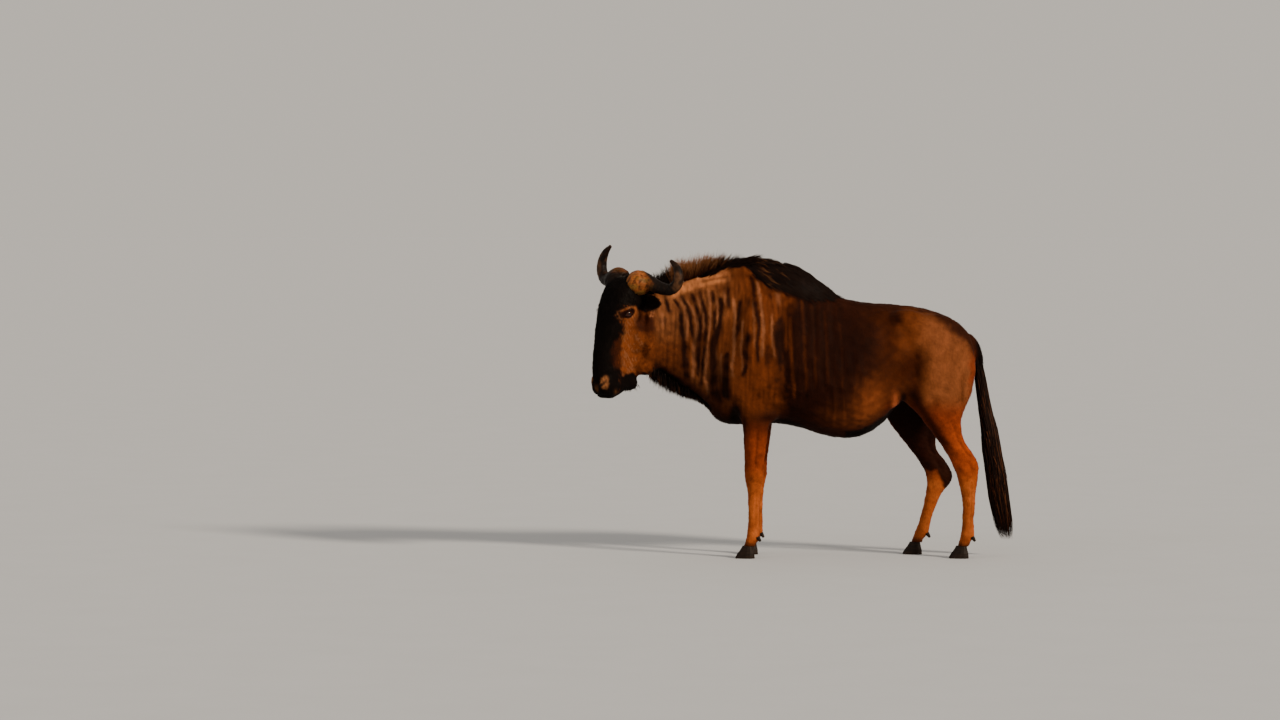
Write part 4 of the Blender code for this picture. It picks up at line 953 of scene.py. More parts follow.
# The head's forms: (u, v, w), reach, height.
HEAD_FORMS = [
    ((-0.048, 0.085, 1.159), (0.034, 0.030, 0.011), 0.006),   # brow over the eye
    ((-0.040, 0.090, 1.088), (0.024, 0.030, 0.014), -0.004),  # hollow under the eye
    ((-0.105, 0.090, 1.072), (0.055, 0.030, 0.012), 0.006),   # cheek bone
    ((-0.132, 0.080, 1.142), (0.025, 0.030, 0.030), -0.006),  # temple
    ((-0.025, 0.070, 1.040), (0.020, 0.030, 0.020), 0.004),   # gland before the eye
    ((-0.050, 0.065, 0.960), (0.035, 0.030, 0.060), -0.005),  # hollow of the cheek
    ((-0.165, 0.080, 1.010), (0.040, 0.040, 0.055), 0.005),   # chewing muscle
    ((-0.115, 0.070, 0.990), (0.012, 0.040, 0.060), -0.004),
    ((0.036, 0.000, 0.930), (0.030, 0.030, 0.090), 0.004),    # ridge of the nose
    ((0.020, 0.046, 0.850), (0.030, 0.020, 0.014), -0.003),
    ((0.034, 0.030, 0.772), (0.020, 0.020, 0.014), 0.003),    # upper lip
    ((-0.095, 0.035, 0.790), (0.035, 0.030, 0.018), 0.003),   # lower lip
    ((-0.215, 0.050, 0.960), (0.012, 0.030, 0.060), 0.004),   # edge of the jaw
    ((-0.075, 0.000, 1.235), (0.035, 0.060, 0.020), 0.004),
]
MOUTH_LINE = ((0.030, 0.0, 0.742), (0.002, 0.037, 0.746), (-0.028, 0.053, 0.772),
              (-0.042, 0.059, 0.805), (-0.053, 0.061, 0.842))
NECK_FOLDS = (((-0.640, 0.070, 1.120), (-0.610, 0.080, 0.980), (-0.640, 0.060, 0.900)),
              ((-0.600, 0.090, 1.050), (-0.570, 0.090, 0.930), (-0.575, 0.050, 0.860)))


def mirrored(points):
    """Points with their side folded onto one side."""
    folded = points.copy()
    folded[:, 1] = np.abs(folded[:, 1])
    return folded


def form_height(points, forms):
    """Sum of the soft hills at the points, which have one side only."""
    total = np.zeros(len(points))
    for place, reach, height in forms:
        total += height * np.exp(-(((points - place) / reach) ** 2).sum(axis=1))
    return total


def leg_forms(points, normals):
    """Bones, tendons and muscles of the legs on their inner and outer faces."""
    x, y, z = points.T
    rise = np.zeros(len(points))
    legs = ((FORELEG, FORELEG_FORMS, -1, 0.0), (FORELEG, FORELEG_FORMS, 1, FAR_FORELEG_SHIFT),
            (HIND_LEFT, HIND_FORMS, -1, 0.0), (HIND_RIGHT, HIND_FORMS, 1, 0.0))
    for rows, forms, side, shift in legs:
        place = (x - shift - np.interp(z, rows[:, 0], rows[:, 1])) / np.interp(z, rows[:, 0], rows[:, 2])
        mine = (np.abs(place) < 1.5) & (y * side > 0) & (z < 0.66)
        for middle, reach, low, high, height in forms:
            fade = ease(low - 0.022, low + 0.012, z) * ease(high + 0.022, high - 0.012, z)
            rise += mine * height * bell(place, middle, reach) * fade
    return rise * np.abs(normals[:, 1])


def sculpt_skin(skin):
    points, normals = points_of(skin), normals_of(skin)
    head = head_weight(points)
    local = mirrored(to_head(points))
    rise = form_height(mirrored(points), BODY_FORMS) * (1 - head)
    rise += form_height(local, HEAD_FORMS) * head + leg_forms(points, normals)
    flat = points * (1.0, 0.0, 1.0)
    for line, width, height in BODY_LINES:
        beside = bell(near_line(flat, [(x, 0.0, z) for x, z in line]), 0, width)
        rise += height * beside * np.abs(normals[:, 1]) * (1 - head)
    ridged = (0.0020 - 0.0046 * stripe_share(points)) * (1 - head) * ease(-0.66, -0.58, points[:, 0])
    rise += ridged * (1 - ease(0.10, 0.34, points[:, 0])) * ease(0.62, 0.70, points[:, 2])
    ribs = np.sin((points[:, 0] + 0.25 * points[:, 2]) / 0.052 * 2 * math.pi)
    rib_zone = bell(points[:, 0], 0.20, 0.16) * bell(points[:, 2], 0.86, 0.16)
    rise += 0.0016 * ribs * rib_zone
    for fold in NECK_FOLDS:
        rise -= 0.004 * bell(near_line(mirrored(points), fold), 0, 0.010) * (1 - head)
    rise -= 0.0060 * bell(near_line(local, MOUTH_LINE), 0, 0.0040) * head
    hole = near_line(local, NOSTRIL)
    rise += (0.0035 * bell(hole, 0.011, 0.004) - 0.0150 * ease(0.0095, 0.0035, hole)) * head
    rise += 0.0010 * ripple(points, 0.06, 21) + 0.0007 * ripple(points, 0.025, 22) * (1 - head)
    set_points(skin, points + normals * (rise - coat_depth(points))[:, None])


def eye_frame(side):
    """The eye's centre and its outward, lengthwise and upward directions in the design frame."""
    u, v, w = EYE_PLACE
    out = unit(np.array((0.24, side * 0.96, 0.06)) @ HEAD_AXES)
    along = np.array((-0.93, side * 0.20, 0.36)) @ HEAD_AXES
    along = unit(along - out * (along @ out))
    up = np.cross(out, along)
    up *= math.copysign(1.0, up[2])
    return head_point(u, side * v, w) - out * EYE_SINK, out, along, up


LID_LENGTH = 0.0202
LID_UPPER = 0.0114
LID_LOWER = 0.0098
LID_THICKNESS = 0.0016
SOCKET_DEPTH = 0.0045


def lid_height(y):
    """Half height of the almond between the lids on the side that y is on."""
    return np.where(y > 0, LID_UPPER, LID_LOWER)


def shape_socket(skin, side):
    """Lays the skin over the eyeball as two lids and sinks it behind the ball between them."""
    points = points_of(skin)
    centre, out, along, up = eye_frame(side)
    away = points - centre
    radius = np.linalg.norm(away, axis=1)
    x, y = away @ along, away @ up
    beside = np.hypot(x, y)
    lid = EYE_RADIUS + LID_THICKNESS
    over = np.maximum(lid, radius + (lid - radius) * ease(0.0245, 0.011, beside))
    inside = np.hypot(x / LID_LENGTH, y / lid_height(y))
    sunk = EYE_RADIUS - SOCKET_DEPTH
    target = sunk + (over - sunk) * ease(0.80, 1.02, inside)
    target -= 0.0022 * bell(inside, 1.75, 0.16) * (y > 0) + 0.0012 * bell(inside, 1.65, 0.15) * (y < 0)
    near = (beside < 0.043) & (away @ out > 0.004) & (radius < 0.048)
    target = np.where(near, target, radius)
    set_points(skin, centre + away * (target / np.maximum(radius, 1e-6))[:, None])


def build_lids(side, name):
    """The two lids' edge: a soft almond ring that lies on the eyeball."""
    centre, out, along, up = eye_frame(side)
    turns = np.linspace(0, 2 * math.pi, 73)
    x = LID_LENGTH * np.cos(turns)
    y = lid_height(np.sin(turns)) * np.sin(turns) * (1 - 0.18 * np.cos(turns) ** 4)
    flat = along * x[:, None] + up * y[:, None]
    depth = np.sqrt(EYE_RADIUS ** 2 - x ** 2 - y ** 2)
    way = unit(out * depth[:, None] + flat)
    outward = unit(flat - way * (flat * way).sum(axis=1)[:, None])
    thick = LID_THICKNESS * np.where(np.sin(turns) > 0, 1.15, 0.95)
    around = np.linspace(0, 2 * math.pi, 13)[:-1]
    lift = EYE_RADIUS + thick[:, None] * (0.35 + 1.05 * np.sin(around))
    spread = 0.0010 + 1.5 * thick[:, None] * np.cos(around)
    rings = centre + way[:, None] * lift[..., None] + outward[:, None] * spread[..., None]
    points, groups = ring_tube(rings[:-1], capped=False)
    now = np.arange(len(around))
    after = (now + 1) % len(around)
    last = (len(rings) - 2) * len(around)
    closing = np.stack([last + now, last + after, after, now], -1)
    lids = mesh_object(name, points, groups + [closing])
    turn_outward(lids)
    return lids


def build_ear(base, tip, name):
    """A leaf with a cup that opens forwards, thin at its edge."""
    length = np.linalg.norm(tip - base)
    axis = (tip - base) / length
    across = unit(np.cross(axis, HEAD_AXES[0]))
    inner = unit(np.cross(across, axis))
    inner *= math.copysign(1.0, inner @ HEAD_AXES[0])
    turns = np.linspace(0, 2 * math.pi, 37)[:-1]
    wide = np.cos(turns)
    rings = []
    for t in np.linspace(0.0, 0.985, 46):
        beyond = max(0.0, (t - 0.45) / 0.55)
        width = EAR_HALF_WIDTH * (0.42 + 0.58 * math.sin(math.pi / 2 * min(1.0, 1.2 * t)))
        width *= math.sqrt(1 - beyond ** 2) * 0.98 + 0.02
        thick = 0.0042 * (1 - 0.55 * t)
        cup = EAR_CUP * wide ** 2 * (width / EAR_HALF_WIDTH) + 0.002 * math.sin(t * 9) * wide ** 2
        rings.append(base + axis * (length * t) + across * (width * wide)[:, None]
                     + inner * (thick * np.sin(turns) + cup)[:, None])
    points, groups = ring_tube(np.array(rings))
    ear = mesh_object(name, points, groups)
    turn_outward(ear)
    return ear


def join_into(thing, others):
    """Unites closed meshes with thing's mesh, which keeps one surface where they cross."""
    for other in others:
        fuse = thing.modifiers.new("unite", "BOOLEAN")
        fuse.operation = "UNION"
        fuse.solver = "MANIFOLD"
        fuse.object = other
        apply_modifiers(thing)
        bpy.data.objects.remove(other)
    shade_smooth(thing)


def add_mane_core(skin):
    """Adds the body of the black mane, without the part in front that stands up in spikes."""
    work = bmesh.new()
    work.from_mesh(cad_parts["mane"].data)
    cut = bmesh.ops.bisect_plane(work, geom=work.verts[:] + work.edges[:] + work.faces[:], dist=1e-6,
                                 plane_co=(MANE_START + SHIFT[0], 0, 0), plane_no=(-1, 0, 0),
                                 clear_outer=True)
    rim = [edge for edge in cut["geom_cut"] if isinstance(edge, bmesh.types.BMEdge)]
    bmesh.ops.triangle_fill(work, edges=rim, use_beauty=True)
    bmesh.ops.recalc_face_normals(work, faces=work.faces)
    work.from_mesh(skin.data)
    work.to_mesh(skin.data)
    work.free()


def lift_crest(skin):
    """Raises the middle of the withers to the crest line of the mane."""
    points = points_of(skin)
    x, y, z = points.T
    near = (np.abs(y) < 0.03) & (z > 1.15)
    stations = np.linspace(MANE_START, 0.20, 40)
    top = np.array([z[near & (np.abs(x - station) < 0.012)].max() for station in stations])
    lift = np.interp(x, MANE_CREST_X, MANE_CREST_Z) - 0.006 - np.interp(x, stations, top)
    lift = np.maximum(lift, 0) * bell(y, 0, 0.040) * ease(1.15, 1.25, z + 0.3 * (x - 0.1))
    lift *= ease(-0.370, -0.330, x) * ease(0.215, 0.195, x)
    points[:, 2] += lift
    set_points(skin, points)


def build_skin():
    plugs = [(head_point(EYE_PLACE[0], side * EYE_PLACE[1], EYE_PLACE[2]), [EYE_RADIUS] * 3, HEAD_AXES)
             for side in (1, -1)]
    plugs += [(head_point(BOSS_PLACE[2], side * BOSS_PLACE[0], BOSS_PLACE[1]),
               [0.85 * BOSS_SIZE[1], 0.85 * BOSS_SIZE[0], 0.85 * BOSS_SIZE[2]], HEAD_AXES)
              for side in (1, -1)]
    skin = copy_nodes(FLESH_NODES, "skin", plugs)
    add_mane_core(skin)
    voxel_remesh(skin, SKIN_VOXEL)
    keep_largest(skin)
    smooth_mesh(skin, 8)
    lift_crest(skin)
    refine(skin, head_weight(points_of(skin)) > 0.05)
    smooth_mesh(skin, 6, head_weight(points_of(skin)))
    refine(skin, leg_weight(points_of(skin)) > 0.30)
    local = mirrored(to_head(points_of(skin)))
    face = np.linalg.norm(local - EYE_PLACE, axis=1) < 0.048
    face |= near_line(local, NOSTRIL) < 0.024
    face |= near_line(local, MOUTH_LINE) < 0.014
    refine(skin, face)
    sculpt_skin(skin)
    local = mirrored(to_head(points_of(skin)))
    refine(skin, np.linalg.norm(local - EYE_PLACE, axis=1) < 0.037)
    for side in (1, -1):
        shape_socket(skin, side)
    join_into(skin, [build_ear(*EARS[0], "ear_l"), build_ear(*EARS[1], "ear_r"),
                     build_lids(1, "lids_l"), build_lids(-1, "lids_r")])
    paint(skin, coat_colour(points_of(skin)))
    return dress(skin, SKIN_LOOK)


# ---------------------------------------------------------------- hair

PATCH = 0.003        # side of one tuft's patch on the bake map
ROUNDNESS = 0.45     # how far the light turns across one tuft


def surface_of(thing):
    """Points, normals and triangles of a mesh, to plant hair on."""
    thing.data.calc_loop_triangles()
    return points_of(thing), normals_of(thing), read(thing.data.loop_triangles, "vertices", 3, np.int32)


def spread_roots(surface, weight, count):
    """count roots and their normals, spread by the triangles' area times the points' weight."""
    points, normals, triangles = surface
    corners = points[triangles]
    cross = np.cross(corners[:, 1] - corners[:, 0], corners[:, 2] - corners[:, 0])
    share = np.cumsum(np.linalg.norm(cross, axis=1) * weight[triangles].mean(axis=1))
    wanted = (np.arange(count) + RNG.random(count)) / count * share[-1]
    chosen = triangles[np.minimum(np.searchsorted(share, wanted), len(share) - 1)]
    a, b = RNG.random((2, count))
    over = a + b > 1
    a, b = np.where(over, 1 - a, a), np.where(over, 1 - b, b)
    parts = np.stack([1 - a - b, a, b], axis=1)[:, :, None]
    return (points[chosen] * parts).sum(axis=1), unit((normals[chosen] * parts).sum(axis=1))


def on_surface(ways, normals):
    return unit(ways - normals * (ways * normals).sum(axis=1)[:, None])


def turned(ways, normals, angle):
    """ways turned about the normals."""
    return ways * np.cos(angle)[:, None] + np.cross(normals, ways) * np.sin(angle)[:, None]


def strand_mesh(name, spine, side, up, colours, places, look, lit=None):
    """Joined three-sided strands, each closed at its root and pointed at its tip.

    spine, side and up have the shape (strands, steps, 3): middle line, half width and height of each
    ring; colours has it too.  places are the roots on the unwrap, 0..1.  lit, of the same shape, are
    the directions that the hair is lit from as part of the whole coat.
    """
    count, steps = spine.shape[:2]
    rings = np.stack([spine + side, spine + up, spine - side], axis=2)[:, :-1]
    points = np.concatenate([rings.reshape(count, -1, 3), spine[:, -1:]], axis=1)
    shades = np.concatenate([np.repeat(colours[:, :-1], 3, axis=1), colours[:, -1:]], axis=1)
    corner = np.array([0, 1, 2])
    after = np.array([1, 2, 0])
    rows = np.arange(steps - 2)[:, None] * 3
    quads = np.stack([rows + after, rows + corner, rows + 3 + corner, rows + 3 + after], -1)
    quads = quads.reshape(-1, 4)
    last = 3 * (steps - 2)
    tips = np.stack([last + after, last + corner, np.full(3, last + 3)], -1)
    first = (np.arange(count) * points.shape[1])[:, None, None]
    groups = [(first + quads).reshape(-1, 4), (first + np.vstack([corner, tips])).reshape(-1, 3)]
    strands = mesh_object(name, points.reshape(-1, 3), [group for group in groups if len(group)])
    paint(strands, shades.reshape(-1, 3))
    if lit is not None:
        breadth = unit(side + 1e-9) * ROUNDNESS
        round_lit = np.stack([lit + breadth, lit, lit - breadth], axis=2)[:, :-1]
        ways = unit(np.concatenate([round_lit.reshape(count, -1, 3), lit[:, -1:]], axis=1))
        strands.data.normals_split_custom_set_from_vertices(ways.reshape(-1, 3))
    low = np.repeat(np.arange(steps - 2), 3)
    column = np.tile(corner, steps - 2)
    quad_map = np.stack([np.stack([column + 1, column, column, column + 1], -1) / 3,
                         np.stack([low, low, low + 1, low + 1], -1) / (steps - 1)], -1)
    top = (steps - 2) / (steps - 1)
    tip_map = np.stack([np.stack([corner + 1, corner, corner + 0.5], -1) / 3,
                        np.tile((top, top, 1.0), (3, 1))], -1)
    cap_map = np.array([[(0.0, 0.0), (0.5, 0.0), (0.5, 0.05)]])
    corners = [quad_map, np.vstack([cap_map, tip_map])]
    uv = np.concatenate([(places[:, None, None] * (1 - PATCH) + part * PATCH).reshape(-1, 2)
                         for part in corners])
    layer = strands.data.uv_layers.new(name="OFBake")
    layer.data.foreach_set("uv", uv.astype(np.float32).ravel())
    strands.data.materials.append(look)
    return strands


def body_unwrap(points):
    """Length along the body and angle round it."""
    middle = (np.interp(points[:, 0], BACK_X, BACK_Z) + np.interp(points[:, 0], BELLY_X, BELLY_Z)) / 2
    return np.stack([points[:, 0], np.arctan2(points[:, 1], points[:, 2] - middle)], -1)


def leg_unwrap(points):
    """Angle round each leg, the legs side by side, and height."""
    rear, left = points[:, 0] > 0.25, points[:, 1] < 0
    middle_x = np.where(rear, np.where(left, 0.72, 0.62), -0.165)
    middle_y = np.where(left, -0.118, 0.118)
    angle = np.arctan2(points[:, 1] - middle_y, points[:, 0] - middle_x) / (2 * math.pi) + 0.5
    return np.stack([angle + 1.05 * (2 * rear + left), points[:, 2]], -1)


def head_unwrap(points):
    """Angle round the head and height, with each ear beside it."""
    u, v, w = to_head(points).T
    ear = ear_weight(points) > 0.3
    angle = np.arctan2(v, u + 0.10) / (2 * math.pi)
    return np.stack([np.where(ear, 0.62 + 0.5 * np.abs(v) + 0.3 * (v > 0), angle),
                     np.where(ear, w + 0.5 * u, w)], -1)


def spread_out(raw):
    """Scales the unwrap of one piece to 0..1."""
    low, high = raw.min(axis=0), raw.max(axis=0)
    return (raw - low) / (high - low)


MANE_FLOW = (0.74, 0.0, -0.67)


def lie_of(points, normals):
    """Unit vectors along which the coat lies."""
    x, _, z = points.T
    under = ease(0.16, 0.02, height_share(points)) * ease(0.56, 0.42, x)
    layers = [((0.50, 0.0, -0.85), ease(-0.20, -0.42, x)), ((0.60, 0.0, -0.80), ease(0.50, 0.72, x)),
              ((1.0, 0.0, 0.0), under), (MANE_FLOW, mane_weight(points)),
              ((0.10, 0.0, -1.0), np.maximum(leg_weight(points), ease(0.60, 0.45, z))),
              (np.array((-0.35, 0.0, -0.95)) @ HEAD_AXES, head_weight(points))]
    for base, tip in EARS:
        near = np.linalg.norm(points - (base + tip) / 2, axis=1) < 0.10
        layers.append((unit(tip - base), ear_weight(points) * near))
    lie = on_surface(layered((0.75, 0.0, -0.66), layers), normals)
    swirl = 0.22 * ripple(points, 0.16, 31) + 0.12 * ripple(points, 0.05, 32)
    return turned(lie, normals, swirl)


def grow_tufts(name, surface, weight, count, length, unwrap):
    """Short flat tufts: thin wedges that leave the skin at a slant along the coat's lie."""
    roots, normals = spread_roots(surface, weight, count)
    ways = turned(lie_of(roots, normals), normals, RNG.normal(0, 0.12, count))
    lengths = length(roots) * RNG.uniform(0.72, 1.25, count)
    rise = coat_depth(roots) * RNG.uniform(0.28, 0.72, count)
    half = (0.00035 + 0.048 * lengths) * RNG.uniform(0.7, 1.25, count)
    tips = roots + ways * lengths[:, None] + normals * rise[:, None]
    spine = np.stack([roots - normals * 0.0005, tips], axis=1)
    across = np.cross(ways, normals) * half[:, None]
    crown = normals * (0.35 * half + 0.0004)[:, None]
    side = np.stack([across, 0 * across], axis=1)
    up = np.stack([crown, 0 * crown], axis=1)
    base = coat_colour(roots + ways * (0.35 * lengths)[:, None])
    base = base * RNG.uniform(0.84, 1.18, count)[:, None]
    colours = base[:, None] * np.array((0.90, 1.10))[None, :, None]
    lit = np.stack([normals, normals + 0.15 * ways], axis=1)
    return strand_mesh(name, spine, side, up, colours, spread_out(unwrap(roots)), FUR_LOOK, lit)


def tuft_length(points):
    """Metres: long on the trunk, short on the lower legs, shortest on the muzzle."""
    face = 0.0050 + 0.0030 * ease(0.80, 1.02, to_head(points)[:, 2])
    leg = leg_weight(points)
    length = 0.0150 + 0.002 * ripple(points, 0.2, 41)
    length = length + (0.0085 - length) * leg
    length = length + (face - length) * head_weight(points)
    return length + (0.008 - length) * ear_weight(points)


def build_coat(skin):
    """Every piece of short coat, by region of the skin."""
    surface = surface_of(skin)
    points = surface[0]
    x = points[:, 0]
    head = head_weight(points)
    bare = np.zeros(len(points))
    for side in (1, -1):
        centre = eye_frame(side)[0]
        bare = np.maximum(bare, np.linalg.norm(points - centre, axis=1) < EYE_RADIUS + 0.004)
    local = mirrored(to_head(points))
    bare = np.maximum(bare, (near_line(local, NOSTRIL) < 0.012) * head)
    bare = np.maximum(bare, points[:, 2] < 0.054)
    leg = (leg_weight(points) > 0.35) * (1 - bare)
    is_head = (head > 0.5) * (1 - bare)
    body = (1 - (leg > 0)) * (1 - (head > 0.5)) * (1 - bare) * (1 - 0.9 * mane_weight(points))
    regions = [("coat_head", is_head * (1 + 1.2 * ease(0.95, 0.80, local[:, 2])), 40000, head_unwrap),
               ("coat_neck", body * (x < -0.42), 22000, body_unwrap),
               ("coat_shoulder", body * (x >= -0.42) * (x < -0.08), 28000, body_unwrap),
               ("coat_side", body * (x >= -0.08) * (x < 0.32), 28000, body_unwrap),
               ("coat_rump", body * (x >= 0.32), 34000, body_unwrap),
               ("coat_forelegs", leg * (x < 0.2), 19000, leg_unwrap),
               ("coat_hindlegs", leg * (x >= 0.2), 23000, leg_unwrap)]
    pieces = []
    for name, weight, count, unwrap in regions:
        pieces.append(grow_tufts(name, surface, weight, count, tuft_length, unwrap))
    return pieces


# ---------------------------------------------------------------- long hair

LOCK_STRANDS = 7          # neighbouring strands that gather in one lock
SKIN_CLEARANCE = 0.004    # least height of long hair over the skin, at its tips


def grow_locks(name, roots, ways, lengths, weight_down, radius, root_colour, tip_colour, tree=None,
               steps=9, wave=0.10, clump=0.0, unwrap=body_unwrap, lit=None):
    """Long strands that start along ways and droop; tree keeps them outside the skin."""
    count = len(roots)
    ways = unit(ways)
    place = roots.copy()
    spine = [place.copy()]
    phase = RNG.random((count, 1)) * 6.28
    sway = unit(RNG.normal(size=(count, 3)))
    for step in range(1, steps):
        t = step / (steps - 1)
        pull = np.array((0.0, 0.0, -1.0)) * np.asarray(weight_down).reshape(-1, 1) / (steps - 1)
        ways = unit(ways + pull * (0.4 + 1.2 * t) + sway * wave * np.sin(phase + 5 * t) / 3)
        place = place + ways * (lengths / (steps - 1))[:, None]
        if tree is not None:
            place = keep_outside(tree, place, SKIN_CLEARANCE * (0.4 + 0.6 * t))
        spine.append(place.copy())
    spine = np.stack(spine, axis=1)
    flat = unit(RNG.normal(size=(count, 1, 3)) * 0.6 + np.array((0.0, 1.0, 0.0)))
    if lit is not None:
        lit = np.repeat(lit[:, None], steps, axis=1)
    return locks_mesh(name, spine, flat, radius, root_colour, tip_colour, clump, unwrap, lit)


def lay_locks(name, roots, normals, flow, lengths, radius, root_colour, tip_colour, tree, rise,
              steps=8, clump=0.0):
    """Locks that lie along flow on the surface of tree, each at its own small height."""
    count = len(roots)
    turn = RNG.normal(0, 0.11, count)
    bend = RNG.normal(0, 0.15, count)
    place, normal = roots.copy(), normals.copy()
    spine, lit = [place - normal * 0.002], [normal]
    for step in range(1, steps):
        t = step / (steps - 1)
        ways = turned(on_surface(np.tile(np.array(flow), (count, 1)), normal), normal, turn + bend * t)
        place = place + ways * (lengths / (steps - 1))[:, None]
        place, normal = rest_on(tree, place, normal, rise * (0.25 + 0.75 * math.sin(math.pi * t * 0.8)))
        spine.append(place)
        lit.append(normal)
    spine, lit = np.stack(spine, axis=1), np.stack(lit, axis=1)
    return locks_mesh(name, spine, lit, radius, root_colour, tip_colour, clump, body_unwrap,
                      lit)


def rest_on(tree, places, normals, height):
    """Moves the points to the given heights over the surface; returns them and its normals there."""
    rested, ways = places.copy(), normals.copy()
    for index, place in enumerate(places):
        spot, normal, _, _ = tree.find_nearest(Vector(place + SHIFT), 0.05)
        if spot is not None:
            ways[index] = 0.6 * ways[index] + 0.4 * np.array(normal)
            rested[index] = np.array(spot) - SHIFT + np.array(normal) * height[index]
    return rested, unit(ways)


def locks_mesh(name, spine, flat, radius, root_colour, tip_colour, clump, unwrap, lit):
    """The strands' mesh: broad across flat, tapered to their tips, gathered into locks."""
    count, steps = spine.shape[:2]
    roots = spine[:, 0]
    if clump:
        spine = gather(spine, clump)
    tangent = unit(np.gradient(spine, axis=1))
    side = unit(np.cross(tangent, flat))
    up = np.cross(side, tangent)
    t = np.linspace(0, 1, steps)
    taper = (1 - t ** 1.6) * (0.75 + 0.5 * np.sin(math.pi * t)) + 0.02
    size = (np.broadcast_to(radius, (count,)) * RNG.uniform(0.7, 1.3, count))[:, None] * taper
    shade = RNG.uniform(0.75, 1.3, (count, 1))
    root_colour, tip_colour = np.asarray(root_colour), np.asarray(tip_colour)
    blend = ease(0.25, 1.0, t)[None, :, None]
    colours = root_colour.reshape(-1, 1, 3) * (1 - blend) + tip_colour.reshape(-1, 1, 3) * blend
    colours = np.broadcast_to(colours, spine.shape) * shade[:, :, None]
    return strand_mesh(name, spine, side * size[..., None], up * (0.5 * size)[..., None], colours,
                       spread_out(unwrap(roots)), HAIR_LOOK, lit)


def keep_outside(tree, places, clear):
    """Moves points that are nearer to the skin than clear, or under it, out along its normal."""
    moved = places.copy()
    for index, place in enumerate(places):
        spot, normal, _, _ = tree.find_nearest(Vector(place + SHIFT), 0.06)
        if spot is None:
            continue
        height = (Vector(place + SHIFT) - spot).dot(normal)
        if height < clear:
            moved[index] += np.array(normal) * (clear - height)
    return moved


def gather(spine, clump):
    """Draws the tips of neighbouring strands together into locks."""
    count = len(spine)
    leader = (np.arange(count) // LOCK_STRANDS) * LOCK_STRANDS
    t = np.linspace(0, 1, spine.shape[1])[None, :, None]
    offset = spine[leader] - spine
    near = np.linalg.norm(offset[:, 0], axis=1) < 0.03
    return spine + offset * clump * t ** 1.5 * near[:, None, None]


def crest_roots(count, start, end, spread):
    """Roots along the crest of neck and withers, ordered from front to rear."""
    x = np.sort(RNG.uniform(start, end, count))
    y = RNG.normal(0, 1, count) * spread(x)
    z = np.interp(x, BACK_X, BACK_Z) - 0.004 - 1.6 * y ** 2 / 0.1
    return np.stack([x, y + crest_side(x), z], -1)


def crest_side(x):
    """Sideways place of the crest line, which bends to the head in front."""
    return np.interp(x, (-0.66, -0.58, -0.44, -0.33), (-0.060, -0.048, -0.008, 0.0))


